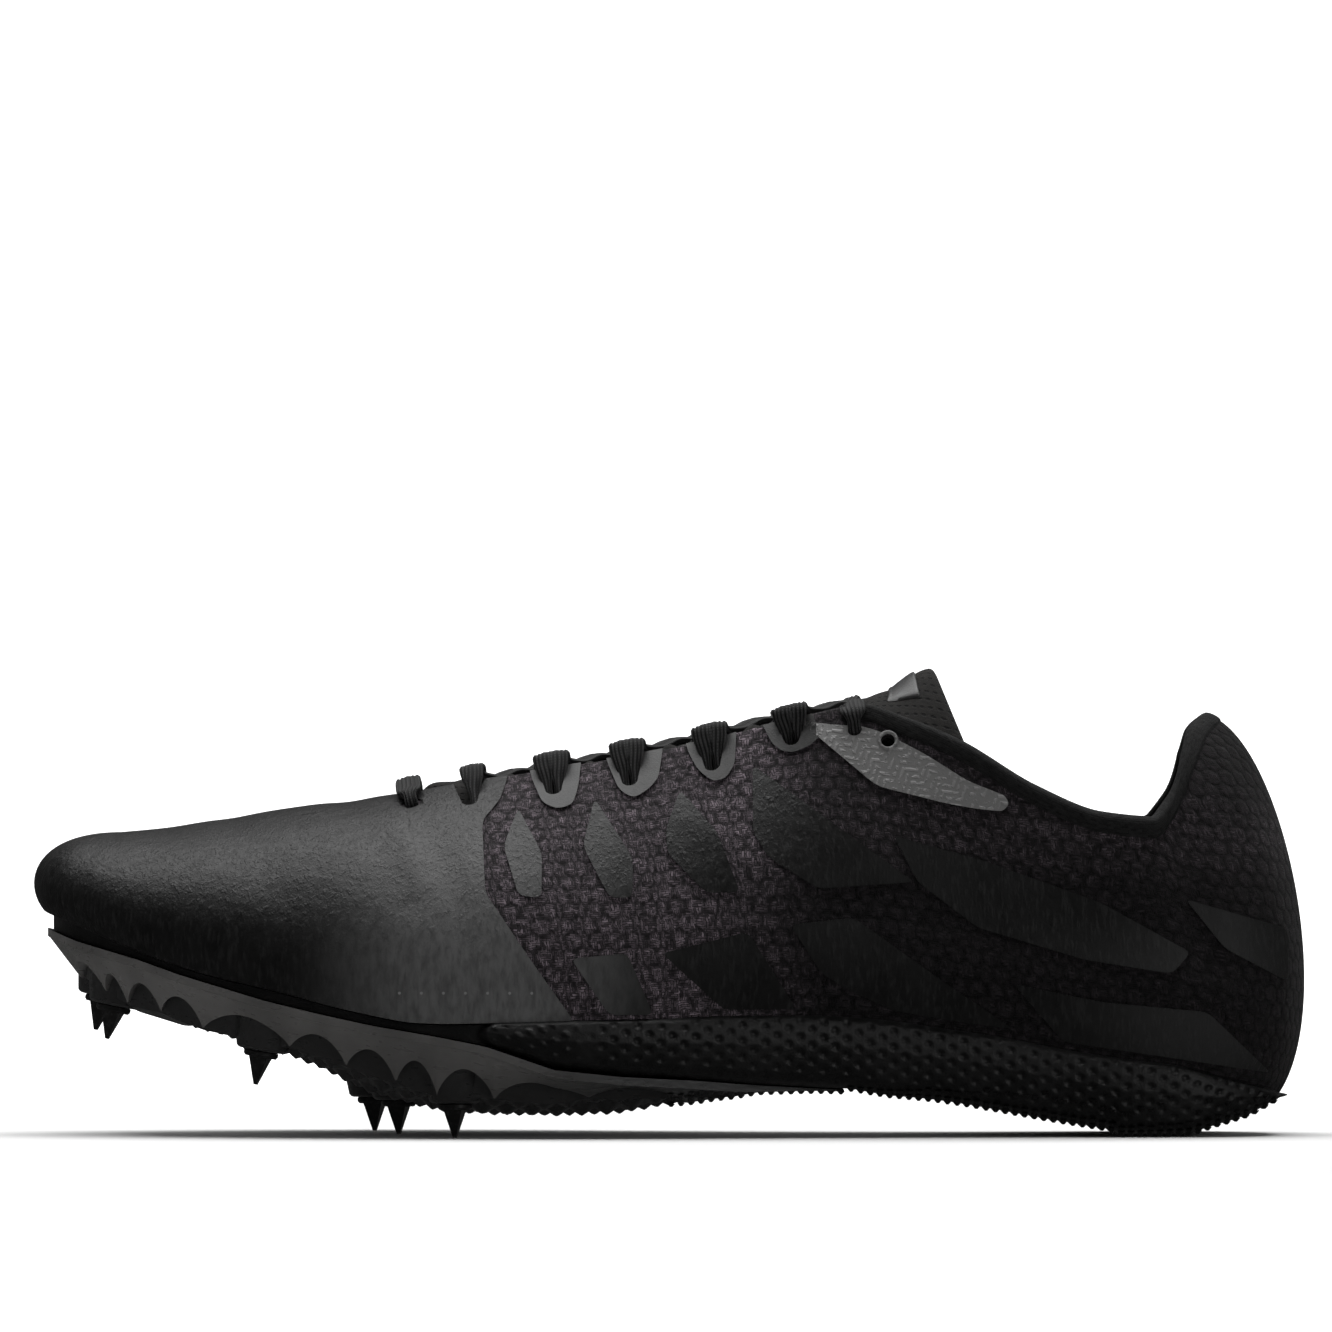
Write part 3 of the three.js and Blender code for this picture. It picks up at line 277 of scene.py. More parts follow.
COLUMNS = ring_columns()
TURNS = np.append(COLUMNS["turn"], COLUMNS["turn"][0] + 2 * math.pi)


def ring_value(name, places):
    """Smooth curve through one column of the ring, with no overshoot."""
    values = COLUMNS[name]
    step = np.roll(values, -1) - values
    before = np.roll(step, 1)
    total = np.where(before * step > 0, before + step, 1)
    slope = np.where(before * step > 0, 2 * before * step / total, 0)
    start = np.floor(places).astype(int)
    u = places - start
    here = start % RING
    there = (start + 1) % RING
    bend = u * u * (3 - 2 * u)
    return (values[here] + (values[there] - values[here]) * bend
            + slope[here] * u * (1 - u) ** 2 - slope[there] * u * u * (1 - u))


def to_unit(vectors):
    """The same directions at length one."""
    return vectors / np.maximum(np.linalg.norm(vectors, axis=-1, keepdims=True), 1e-12)


def foot_point(places):
    """Edge of the last's underside."""
    return np.stack([ring_value(name, places) for name in ("foot_x", "foot_y", "foot_z")], -1)


def inwards(places):
    """Direction from the last's edge towards the shoe's middle."""
    foot = foot_point(places)
    spine = foot.copy()
    spine[..., 0] = np.clip(foot[..., 0], TOE_X + TOE_ROUND, HEEL_X - HEEL_ROUND)
    spine[..., 1] = ring_value("middle_y", places)
    return to_unit(spine - foot)


def skin(places, shares):
    """Points of the upper's outside: places run round the ring, shares from foot to top."""
    places, shares = np.broadcast_arrays(np.asarray(places, float), np.asarray(shares, float))
    foot = foot_point(places)
    top = np.stack([ring_value("top_x", places),
                    ring_value("ridge_y", places) + ring_value("half_y", places),
                    ring_value("top_z", places)], -1)
    chord = np.linalg.norm(top - foot, axis=-1)[..., None]
    lean = ring_value("lean", places)[..., None]
    tilt = np.maximum(0, ring_value("tilt", places))[..., None]
    turn = np.interp(places % RING, np.arange(RING + 1), TURNS)
    up = np.array([0.0, 0.0, 1.0])
    facing = np.stack([-np.cos(turn), -np.sin(turn), np.zeros_like(turn)], -1)
    low = chord * ring_value("low", places)[..., None]
    high = chord * ring_value("high", places)[..., None]
    first = foot + low * (-inwards(places) * np.sin(lean) + up * np.cos(lean))
    second = top + high * (facing * np.cos(tilt) - up * np.sin(tilt))
    t = shares[..., None]
    return ((1 - t) ** 3 * foot + 3 * t * (1 - t) ** 2 * first
            + 3 * t * t * (1 - t) * second + t ** 3 * top)


def fold(places):
    """The nearest row of the table, counted from the toe on either side."""
    around = np.asarray(places, float) % RING
    return np.where(around <= ROWS, around, RING - around)


def smooth(value, low, high):
    """Zero below low, one above high, and a soft step between."""
    u = np.clip((value - low) / (high - low), 0, 1)
    return u * u * (3 - 2 * u)


print("rib table:", RIB_TABLE.shape, "collar dip at", skin(20.0, 1.0).round(4))

# %% [markdown]
# ## Helpers for meshes
# Most pieces are grids: rows of points joined by quads. The cloth map of a grid holds real
# lengths, so a weave keeps its scale on every piece. Doubles are merged where two edges of
# a grid meet, and then the faces are turned to point outwards.

# %% Making a piece from points
WELD_DISTANCE = 0.0003 * MM
SAME_PLACE = 0.002 * MM


def make_piece(name, points, faces, cloth=None, weld=True, shade=None):
    """A mesh object from points and faces. cloth holds one pair of metres for each corner,
    shade one number for each point, which a material reads to paint shade."""
    mesh = bpy.data.meshes.new(name)
    mesh.from_pydata([tuple(p) for p in points], [], faces)
    if cloth is not None:
        layer = mesh.uv_layers.new(name="cloth")
        layer.data.foreach_set("uv", np.asarray(cloth, np.float32).ravel())
    if shade is not None:
        layer = mesh.uv_layers.new(name="shade")
        corners = np.concatenate([np.asarray(face) for face in faces])
        layer.data.foreach_set("uv", np.repeat(shade.ravel()[corners], 2).astype(np.float32))
    if weld:
        work = bmesh.new()
        work.from_mesh(mesh)
        bmesh.ops.remove_doubles(work, verts=work.verts, dist=WELD_DISTANCE)
        bmesh.ops.recalc_face_normals(work, faces=work.faces)
        open_edges = sum(not edge.is_manifold for edge in work.edges)
        if open_edges:
            print(name, "has open edges:", open_edges)
        work.to_mesh(mesh)
        work.free()
    mesh.shade_smooth()
    piece = bpy.data.objects.new(name, mesh)
    bpy.context.scene.collection.objects.link(piece)
    return piece


def grid_faces(rows, columns, start=0, wrap_rows=False, wrap_columns=False, flip=False):
    """Quads between the points of a grid, as rows of four indices."""
    i = np.arange(rows if wrap_rows else rows - 1)
    j = np.arange(columns if wrap_columns else columns - 1)
    i, j = np.meshgrid(i, j, indexing="ij")
    i2 = (i + 1) % rows
    j2 = (j + 1) % columns
    quad = [i * columns + j, i2 * columns + j, i2 * columns + j2, i * columns + j2]
    if flip:
        quad.reverse()
    return (np.stack(quad, -1).reshape(-1, 4) + start)


def lengths_along(points, axis):
    """Distance travelled along one direction of a grid, from its first row."""
    step = np.linalg.norm(np.diff(points, axis=axis), axis=-1)
    start = np.zeros_like(np.take(step, [0], axis=axis))
    return np.concatenate([start, np.cumsum(step, axis=axis)], axis=axis)


def grid_normals(points, wrap_rows):
    """Normals of a grid whose rows may close into a ring. Points that coincide share one."""
    count, width = points.shape[:2]
    faces = grid_faces(count, width, wrap_rows=wrap_rows)
    flat = points.reshape(-1, 3)
    keys = np.round(flat / SAME_PLACE).astype(np.int64)
    joined = np.unique(keys, axis=0, return_inverse=True)[1].ravel()
    cross = np.cross(flat[faces[:, 2]] - flat[faces[:, 0]], flat[faces[:, 3]] - flat[faces[:, 1]])
    total = np.zeros((joined.max() + 1, 3))
    for corner in range(4):
        np.add.at(total, joined[faces[:, corner]], cross)
    return to_unit(total)[joined].reshape(points.shape)


def dress(piece, material, node_names, body="root"):
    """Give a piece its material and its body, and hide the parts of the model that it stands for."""
    piece.data.materials.clear()
    piece.data.materials.append(material)
    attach(piece, body)
    if node_names:
        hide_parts(*node_names)
    return piece


def mark_sharp(piece, degrees):
    """Keep edges sharp where two faces meet at more than this angle."""
    piece.data.set_sharp_from_angle(angle=math.radians(degrees))
    return piece


def apply_modifiers(piece):
    """Turn the piece with its modifiers into a plain mesh, and remove the modifiers."""
    graph = bpy.context.evaluated_depsgraph_get()
    made = bpy.data.meshes.new_from_object(piece.evaluated_get(graph))
    piece.modifiers.clear()
    piece.data = made
    return piece


# %% [markdown]
# ## Creases
# Even a new upper has soft troughs where it was pulled over the last: across the vamp
# behind the toe, at the flex line, under the ankle and beside the heel. Each is a line on
# the side of the shoe, in shares of its length and height, with a width and a depth.

# %% Soft troughs and ridges of the upper
CREASES = [
    # start and end as shares of length and heel height, width and depth in mm
    ((0.250, 0.800), (0.300, 0.560), 9, 0.45),
    ((0.318, 0.700), (0.352, 0.480), 7, 0.40),
    ((0.160, 0.740), (0.205, 0.560), 10, 0.30),
    ((0.640, 0.560), (0.860, 0.470), 14, 0.60),
    ((0.905, 0.720), (0.925, 0.420), 9, 0.60),
    ((0.520, 0.760), (0.600, 0.600), 10, -0.35),
    ((0.700, 0.800), (0.860, 0.640), 12, -0.45),
    ((0.780, 0.420), (0.930, 0.330), 11, -0.50),
]


def crease_depth(points):
    """How far the cloth is pushed in at each point, in metres."""
    along = points[..., 0]
    height = points[..., 2]
    depth = np.zeros(along.shape)
    for start, end, width, deep in CREASES:
        ax, az = TOE_X + start[0] * LENGTH, start[1] * HEEL_HEIGHT
        bx, bz = TOE_X + end[0] * LENGTH, end[1] * HEEL_HEIGHT
        span = (bx - ax) ** 2 + (bz - az) ** 2
        u = np.clip(((along - ax) * (bx - ax) + (height - az) * (bz - az)) / span, 0, 1)
        away = np.hypot(along - ax - u * (bx - ax), height - az - u * (bz - az))
        soft = np.exp(-(away / (width * MM / 2)) ** 2)
        depth += deep * MM * soft
    return depth


# %% [markdown]
# ## The fine surface of the upper
# The throat's edge has a row of notches that hold the laces, cut as rounded V shapes. They
# are deep over the instep and shorter beside the eyestay. The grid's columns are set closer
# there, and each column simply stops lower, so the edge is clean without any cutting.

# %% Notches in the throat's edge
NOTCH_ROWS = [10.0, 11.05, 12.0, 13.0, 13.95]
NOTCH_DEPTHS = np.array([10.8, 10.8, 10.8, 10.2, 7.6]) * MM
NOTCH_TOP = 6.8 * MM
NOTCH_ROUND = 1.9 * MM
SIDES = {"lateral": -1, "medial": 1}


def notch_outline(deep, steps=7):
    """The notch as places along the edge and depths below it, from one side to the other."""
    angles = np.linspace(0.14 * math.pi, 0.86 * math.pi, steps)
    along = -NOTCH_ROUND * np.cos(angles)
    depth = deep - NOTCH_ROUND + NOTCH_ROUND * np.sin(angles)
    along = np.concatenate([[-NOTCH_TOP / 2], along, [NOTCH_TOP / 2]])
    depth = np.concatenate([[0], depth, [0]])
    return along, depth


SPEED_STEP = 0.05


def edge_speed(place):
    """Metres for each row along the throat's edge."""
    ahead, behind = skin(place + SPEED_STEP, 1.0), skin(place - SPEED_STEP, 1.0)
    return np.linalg.norm(ahead - behind) / (2 * SPEED_STEP)


def down_speed(places):
    """Metres for each share of the wall, close to its upper end."""
    fall = skin(places, 1.0) - skin(places, 1 - SPEED_STEP)
    return np.linalg.norm(fall, axis=-1) / SPEED_STEP


def ring_place(row, side):
    """Place on the ring of a row of the table, on the outer (-1) or inner (+1) side. The row
    may be a whole array of rows."""
    return row if side < 0 else RING - row


def notch_places():
    """The outline of every notch, as places on the ring and the shares where the knit ends."""
    found = []
    for side in SIDES.values():
        for row, deep in zip(NOTCH_ROWS, NOTCH_DEPTHS):
            along, depth = notch_outline(deep)
            centre = ring_place(row, side)
            found.append((centre + along / edge_speed(centre), 1 - depth / down_speed(centre)))
    return found


NOTCHES = notch_places()
COLUMNS_EACH_ROW = 13
NOTCH_FREE = 0.03
NOTCH_EDGE = 0.004
SHARE_STEPS = 84


def upper_places():
    """Places of the grid's columns: even, and closer in the notches."""
    even = np.arange(RING * COLUMNS_EACH_ROW) / COLUMNS_EACH_ROW
    for known, _ in NOTCHES:
        even = even[(even < known[0] - NOTCH_FREE) | (even > known[-1] + NOTCH_FREE)]
    own = [[known[0] - NOTCH_EDGE, *known, known[-1] + NOTCH_EDGE] for known, _ in NOTCHES]
    return np.sort(np.concatenate([even, *own]))


def top_share(places):
    """Where each column ends: at the throat's edge, or lower in a notch."""
    top = np.ones_like(places)
    for known, known_shares in NOTCHES:
        inside = (places >= known[0]) & (places <= known[-1])
        top[inside] = np.interp(places[inside], known, known_shares)
    return top


# %% Grid of the outside
places = upper_places()
reach = np.linspace(0, 1, SHARE_STEPS + 1)
shares = reach[None, :] * top_share(places)[:, None]
plain = skin(places[:, None], shares)
plain_normals = grid_normals(plain, wrap_rows=True)
if np.sum(plain_normals[len(places) // 4, SHARE_STEPS // 2] * (0, -1, 0)) < 0:
    plain_normals = -plain_normals
outside = plain - plain_normals * crease_depth(plain)[..., None]
outside_normals = plain_normals
print("outside grid:", outside.shape[:2], "first normal", outside_normals[0, 10].round(2))


# %% The cloth map
def cloth_map():
    """Metres along the ring at half height, and metres up each rib."""
    middle = outside[:, SHARE_STEPS // 2]
    closed = np.concatenate([middle, middle[:1]])
    round_about = lengths_along(closed, 0)
    up = lengths_along(outside, 1)
    return round_about, up


cloth_round, cloth_up = cloth_map()
print("round the shoe:", round(cloth_round[-1] / MM), "mm, up to", round(cloth_up.max() / MM), "mm")


# %% Shells over the grid
def wall_at(rows, shares):
    """The wall's thickness: thin over the foot, padded towards the collar's edge."""
    collar = smooth(rows, CORNER_ROW - 1, CORNER_ROW + 2)
    return WALL + (COLLAR_WALL - WALL) * collar * smooth(shares, 0.45, 0.9)


def rim_arc(outer, inner, below, steps=3, roundness=0.9):
    """Rounded edge between the outer and the inner end of each column. It stays flat where
    the two sides of the throat meet."""
    middle = (outer + inner) / 2
    radius = np.linalg.norm(outer - inner, axis=-1, keepdims=True) / 2
    opening = np.abs(ring_value("half_y", places))[:, None]
    roundness = roundness * np.minimum(1, 0.7 * opening / radius)
    rise = to_unit(outer - below)
    angles = np.linspace(0, math.pi, steps + 2)[1:-1]
    rows = [middle + (outer - middle) * math.cos(a) + rise * radius * math.sin(a) * roundness
            for a in angles]
    return np.stack(rows, 1)


def shell_piece(name, near, far, inner_every=1, roundness=0.9):
    """A closed wall between two distances from the skin, open at the throat and underneath."""
    count = len(places)
    outer = outside + outside_normals * far
    inner_rows = np.arange(0, SHARE_STEPS + 1, inner_every)
    inner = (outside + outside_normals * near)[:, inner_rows]
    rim = rim_arc(outer[:, -1], inner[:, -1], outer[:, -2], roundness=roundness)
    section = np.concatenate([outer, rim, inner[:, ::-1]], 1)
    width = section.shape[1]
    quads = grid_faces(count, width, wrap_rows=True, wrap_columns=True).reshape(count, width, 4)
    is_rim = np.arange(width)
    is_rim = (is_rim >= SHARE_STEPS) & (is_rim <= SHARE_STEPS + rim.shape[1])
    row = fold(places)
    open_top = np.maximum(row, np.roll(row, -1)) > THROAT_ROW
    keep = open_top[:, None] | ~is_rim[None, :]
    faces = quads[keep]
    u = np.stack([cloth_round[:-1], cloth_round[1:], cloth_round[1:], cloth_round[:-1]], -1)
    up_outer = cloth_up
    up_inner = cloth_up[:, inner_rows][:, ::-1]
    up_rim = np.repeat(cloth_up[:, -1:], rim.shape[1], 1)
    up = np.concatenate([up_outer, up_rim, up_inner], 1)
    corner_u = np.broadcast_to(u[:, None, :], (count, width, 4))[keep]
    corner_v = up.ravel()[faces]
    cloth = np.stack([corner_u, corner_v], -1).reshape(-1, 2)
    return make_piece(name, section.reshape(-1, 3), faces.tolist(), cloth)


knit_wall = wall_at(fold(places)[:, None], shares)
upper = shell_piece("knitted_upper", -knit_wall[..., None], 0.0, inner_every=3)
print("upper triangles:", 2 * len(upper.data.polygons))

# %% [markdown]
# ## The knit
# The upper is one engineered knit: short dashes, slightly purple, gathered into honeycomb
# cells about four millimetres wide. The cells are pillows whose height falls off from a
# hexagonal lattice of centres, with painted shade in the grooves between them. The dashes
# are a brick pattern that turns from lying to upright in each square of a basket. Both are
# on the cloth map, so they follow the foot. The colour carries painted light over the ball
# and painted shade round the ankle and on the heel tab; it is lighter again under the collar.

# %% Knit material
# widths, places (along, or along and up) and reaches are in mm; the rear, collar and heel tab numbers
# are factors on the colour, and the rear and heel tab ones paint shade
CELL = 4.2
BASKET = 2.3
KNIT_LIGHT_FALLOFF = (-108, -72)
REAR_PAINTED_SHADE = 0.11
COLLAR_KNIT = (54, 68)
COLLAR_YARN = 2.2
HEEL_TAB = (22, 88)
HEEL_TAB_REACH = 26
HEEL_TAB_PAINTED_SHADE = 0.2
DASH_VALUES = {"Scale": 1.0, "Brick Width": 1.5, "Row Height": 0.50, "Mortar Size": 0.085,
               "Mortar Smooth": 0.5, "Bias": 0.0, "Color1": purple(0.020), "Color2": purple(0.110),
               "Mortar": purple(0.003)}


def hexagon_distance(tree, place, width):
    """Distance from the nearest centre of a lattice of hexagons, in millimetres."""
    across = (width / 2, width * math.sqrt(3) / 2, 1.0)
    low = tuple(-v for v in across)
    first = vector_of(tree, "LENGTH", vector_of(tree, "WRAP", place, across, low))
    moved = vector_of(tree, "SUBTRACT", place, across)
    second = vector_of(tree, "LENGTH", vector_of(tree, "WRAP", moved, across, low))
    return sum_of(tree, "MINIMUM", first, second)


def build_knit(tree):
    place = cloth_in_mm(tree)
    wobble = add_node(tree, "ShaderNodeTexNoise", {"Vector": place, "Scale": 0.45, "Detail": 2.0})
    drift = vector_of(tree, "MULTIPLY", wobble.outputs["Color"], (1.4, 1.1, 0.0))
    bent = vector_of(tree, "ADD", place, drift)
    away = hexagon_distance(tree, bent, CELL)
    pillow = fade(tree, away, CELL * 0.30, CELL * 0.60, 1.0, 0.0)
    turned = axes(tree, bent)
    upright = add_node(tree, "ShaderNodeCombineXYZ", {0: turned["Y"], 1: turned["X"]}).outputs[0]
    lying, standing = [add_node(tree, "ShaderNodeTexBrick", {"Vector": way, **DASH_VALUES}).outputs
                       for way in (bent, upright)]
    basket = add_node(tree, "ShaderNodeTexChecker", {"Vector": bent, "Scale": 1 / BASKET})
    square = basket.outputs["Fac"]
    thread = blend_colour(tree, square, lying["Color"], standing["Color"])
    gaps = add_node(tree, "ShaderNodeMix", {"Factor": square, "A": lying["Fac"], "B": standing["Fac"]},
                    data_type="FLOAT").outputs[0]
    uneven = fade(tree, noise(tree, place, 0.5, 3.0), 0.3, 0.7, 0.55, 1.3)
    spot = place_in_mm(tree)
    at = axes(tree, spot)
    # painted light and shade: lighter over the forefoot, which faces the lamp above, darker towards
    # the ankle
    front = fade(tree, at["X"], *KNIT_LIGHT_FALLOFF, 1.0, REAR_PAINTED_SHADE)
    behind = fade(tree, at["X"], *KNIT_LIGHT_FALLOFF)
    under_collar = fade(tree, at["Z"], *COLLAR_KNIT, 0.0, COLLAR_YARN)
    collar = plus(tree, 1.0, product(tree, behind, under_collar))
    # painted shade: the knit round the heel tab is darkened
    painted_tab_shade = zone(tree, spot, HEEL_TAB, HEEL_TAB_REACH)
    tab_shade = plus(tree, 1.0, product(tree, painted_tab_shade, HEEL_TAB_PAINTED_SHADE - 1))
    # painted shade in the grooves between the pillows
    painted_groove_shade = fade(tree, pillow, 0.0, 1.0, 0.36, 1.1)
    level = product(tree, uneven, front, collar, tab_shade, painted_groove_shade)
    colour = add_node(tree, "ShaderNodeVectorMath", {0: thread, "Scale": level},
                      operation="SCALE").outputs[0]
    fuzz = product(tree, noise(tree, place, 5.0, 2.0), 0.25)
    height = plus(tree, product(tree, pillow, 0.50), product(tree, gaps, -0.45), fuzz)
    return {"colour": colour, "height": height, "depth": 0.55 * MM}


knit = finish_material("purple_black_knit", build_knit, Roughness=0.85, Sheen_Weight=0.03,
                       Sheen_Roughness=0.5, Specular_IOR_Level=0.12)
dress(upper, knit, ["upper"])
mark_sharp(upper, 60)


# %% [markdown]
# ## Film panels
# Thin plastic film is pressed onto the knit: one sheet round the whole forefoot and ten
# separate fins on each side. Each panel is cut out of a thin shell over the knit with a
# prism whose outline is the panel as seen from the side. The fins have the same outlines as
# in the part. The toe film reaches further back at its top, round the second notch.

# %% Outlines of the panels
TOE_FILM = [(-0.02, 0.45), (-0.02, 0.95), (0.379, 0.95), (0.377, 0.859), (0.371, 0.800),
            (0.357, 0.750), (0.360, 0.580), (0.396, 0.420), (0.429, 0.279), (0.417, 0.177),
            (0.212, 0.177)]
FILM_TABLE = {
    "fin_1": [(0.385, 0.780), (0.404, 0.673), (0.404, 0.568), (0.386, 0.573), (0.374, 0.690)],
    "fin_2": [(0.445, 0.802), (0.475, 0.663), (0.475, 0.568), (0.457, 0.568), (0.436, 0.690)],
    "fin_3": [(0.512, 0.823), (0.541, 0.723), (0.559, 0.580), (0.532, 0.580), (0.502, 0.673),
              (0.501, 0.730)],
    "fin_4": [(0.569, 0.881), (0.695, 0.604), (0.620, 0.589), (0.581, 0.663), (0.569, 0.723)],
    "fin_5": [(0.679, 0.714), (0.750, 0.654), (0.842, 0.554), (0.912, 0.437), (0.897, 0.387),
              (0.829, 0.420), (0.745, 0.496), (0.698, 0.604)],
    "low_1": [(0.427, 0.425), (0.471, 0.437), (0.491, 0.292), (0.457, 0.292)],
    "low_2": [(0.498, 0.437), (0.565, 0.487), (0.603, 0.304), (0.546, 0.304)],
    "low_3": [(0.598, 0.504), (0.648, 0.520), (0.717, 0.370), (0.773, 0.256), (0.733, 0.272),
              (0.679, 0.300), (0.646, 0.346), (0.623, 0.387)],
    "heel_low": [(0.773, 0.363), (0.842, 0.320), (0.925, 0.296), (0.976, 0.150), (0.907, 0.183),
                 (0.812, 0.226)],
    "heel_high": [(0.908, 0.563), (0.990, 0.492), (0.990, 0.366), (0.939, 0.446)],
}
STAY_PANEL = [(0.605, 0.986), (0.633, 0.976), (0.654, 0.974), (0.672, 0.957), (0.704, 0.907),
              (0.738, 0.842), (0.766, 0.809), (0.770, 0.790), (0.765, 0.771), (0.746, 0.776),
              (0.720, 0.790), (0.698, 0.807), (0.666, 0.831), (0.616, 0.959)]
SIDE_REACH = 80 * MM
CORNER_CUT = 1.6 * MM


def rounded(corners, cut=CORNER_CUT, steps=4):
    """An outline in metres whose corners are small curves."""
    flat = np.array([(TOE_X + along * LENGTH, height * HEEL_HEIGHT) for along, height in corners])
    outline = []
    for before, here, after in zip(np.roll(flat, 1, 0), flat, np.roll(flat, -1, 0)):
        back, on = before - here, after - here
        size = min(cut, 0.4 * np.linalg.norm(back), 0.4 * np.linalg.norm(on))
        start = here + back / np.linalg.norm(back) * size
        end = here + on / np.linalg.norm(on) * size
        for u in np.linspace(0, 1, steps):
            outline.append((1 - u) ** 2 * start + 2 * u * (1 - u) * here + u * u * end)
    return np.array(outline)


def make_bar(name, near, far):
    """A closed bar between two loops that have the same number of points."""
    count = len(near)
    walls = [(i, (i + 1) % count, count + (i + 1) % count, count + i) for i in range(count)]
    ends = [tuple(range(count)), tuple(range(2 * count - 1, count - 1, -1))]
    return make_piece(name, near + far, ends + walls)


def prism(name, outline, first, last):
    """A closed prism across the shoe with the outline seen from its side."""
    return make_bar(name, [(x, first, z) for x, z in outline], [(x, last, z) for x, z in outline])


def combine(target, tool, operation):
    """Cut one piece by another and throw the tool away."""
    modifier = target.modifiers.new("cut", "BOOLEAN")
    modifier.operation = operation
    modifier.solver = "MANIFOLD"
    modifier.object = tool
    apply_modifiers(target)
    bpy.data.objects.remove(tool)
    return target


def copy_of(piece, name):
    """A free copy of a piece."""
    twin = piece.copy()
    twin.data = piece.data.copy()
    twin.name = name
    bpy.context.scene.collection.objects.link(twin)
    return twin


def side_range(side):
    """Where a prism starts and ends across the shoe, for one side or for both."""
    return (-SIDE_REACH, SIDE_REACH) if side == 0 else tuple(sorted((0.0, side * SIDE_REACH)))


def panel_piece(name, shell, corners, side, cut=CORNER_CUT):
    """One panel: the shell over the knit inside the panel's outline."""
    tool = prism(name + "_tool", rounded(corners, cut), *side_range(side))
    return combine(copy_of(shell, name), tool, "INTERSECT")


# %% Film material
# places and sizes in mm
FILM_REFLECTION_SPOT = (-150, 37)
FILM_REFLECTION_REACH = 46
HEEL_FILM_LIGHT = (10, 32)
HEEL_FILM_LIGHT_REACH = 36
PINHOLE_START = -169.2
PINHOLE_END = -137
PINHOLE_PITCH = 4.9
PINHOLE_HEIGHT = 32.4


def pinholes(tree, at):
    """One where a pinhole is, in a row low on the side of the toe film."""
    past_start = sum_of(tree, "SUBTRACT", at["X"], PINHOLE_START)
    across = sum_of(tree, "PINGPONG", past_start, PINHOLE_PITCH / 2)
    off_line = sum_of(tree, "SUBTRACT", at["Z"], PINHOLE_HEIGHT)
    off_place = add_node(tree, "ShaderNodeCombineXYZ", {0: across, 1: off_line}).outputs[0]
    dots = fade(tree, vector_of(tree, "LENGTH", off_place), 0.22, 0.42, 1.0, 0.0)
    behind = sum_of(tree, "GREATER_THAN", at["X"], PINHOLE_START - 1)
    ahead = sum_of(tree, "LESS_THAN", at["X"], PINHOLE_END)
    return product(tree, dots, behind, ahead)


def build_film(tree):
    place = place_in_mm(tree)
    stretched = vector_of(tree, "MULTIPLY", place, (1.0, 1.0, 0.35))
    streaks = noise(tree, stretched, 0.55, 4.0, 0.6)
    cloud = noise(tree, place, 0.06, 2.0)
    level = product(tree, plus(tree, streaks, cloud), 0.5)
    colour = blend_colour(tree, fade(tree, level, 0.3, 0.7), grey(0.0030), grey(0.0062))
    at = axes(tree, place)
    uneven = fade(tree, streaks, 0.25, 0.7, 0.6, 1.0)
    # painted reflection of a side lamp, low on the outer side of the toe film
    outer_side = fade(tree, at["Y"], -22, 0, 1.0, 0.15)
    painted_reflection = product(tree, zone(tree, place, FILM_REFLECTION_SPOT, FILM_REFLECTION_REACH), uneven, outer_side)
    colour = blend_colour(tree, painted_reflection, colour, grey(0.075))
    # painted light on the films at the heel
    colour = blend_colour(tree, zone(tree, place, HEEL_FILM_LIGHT, HEEL_FILM_LIGHT_REACH), colour, grey(0.014))
    colour = blend_colour(tree, pinholes(tree, at), colour, grey(0.13))
    flecks = fade(tree, noise(tree, vector_of(tree, "MULTIPLY", place, (1.0, 1.0, 0.22)), 1.3, 3.0),
                  0.45, 0.75)
    colour = blend_colour(tree, product(tree, flecks, 0.35), colour, grey(0.022))
    grain = plus(tree, noise(tree, place, 2.2, 3.0, 0.65), product(tree, flecks, 0.9))
    ripple = product(tree, noise(tree, place, 0.22, 2.0), 2.2)
    away = hexagon_distance(tree, cloth_in_mm(tree), CELL)
    shown = fade(tree, noise(tree, place, 0.05, 2.0), 0.38, 0.62, 0.05, 0.26)
    cells = product(tree, fade(tree, away, CELL * 0.36, CELL * 0.56, 1.0, 0.0), shown)
    return {"colour": colour, "roughness": fade(tree, streaks, 0.3, 0.7, 0.40, 0.52),
            "height": plus(tree, grain, ripple, cells), "depth": 0.10 * MM}


film = finish_material("pressed_film", build_film, Specular_IOR_Level=0.155)

# %% Panels of both sides
FILM_PROUD = 0.40 * MM
FILM_ROOT = -0.25 * MM
film_shell = shell_piece("film_shell", FILM_ROOT, FILM_PROUD, roundness=0.2)

toe_film = panel_piece("forefoot_film", film_shell, TOE_FILM, 0)
dress(mark_sharp(toe_film, 50), film, ["film_toe"])
for side_name, side in SIDES.items():
    for panel_name, corners in FILM_TABLE.items():
        panel = panel_piece(f"{panel_name}_panel_{side_name}", film_shell, corners, side)
        dress(mark_sharp(panel, 50), film, [f"film_{panel_name}_{side_name}"])
bpy.data.objects.remove(film_shell)
print("film panels made, toe film faces:", len(toe_film.data.polygons))

# %% [markdown]
# ## Eyestay panels
# Beside the collar's front a light grey film carries the two upper lace holes. It has a
# fine embossed herringbone. The hole that stays empty has a small raised ring.

# %% Eyestay
HOLES = [(9.12, 0.895), (14.95, 0.92), (15.6, 0.91)]
HOLE_WIDTH = 3.2 * MM
FRONT_HOLE_WIDTH = 4.6 * MM


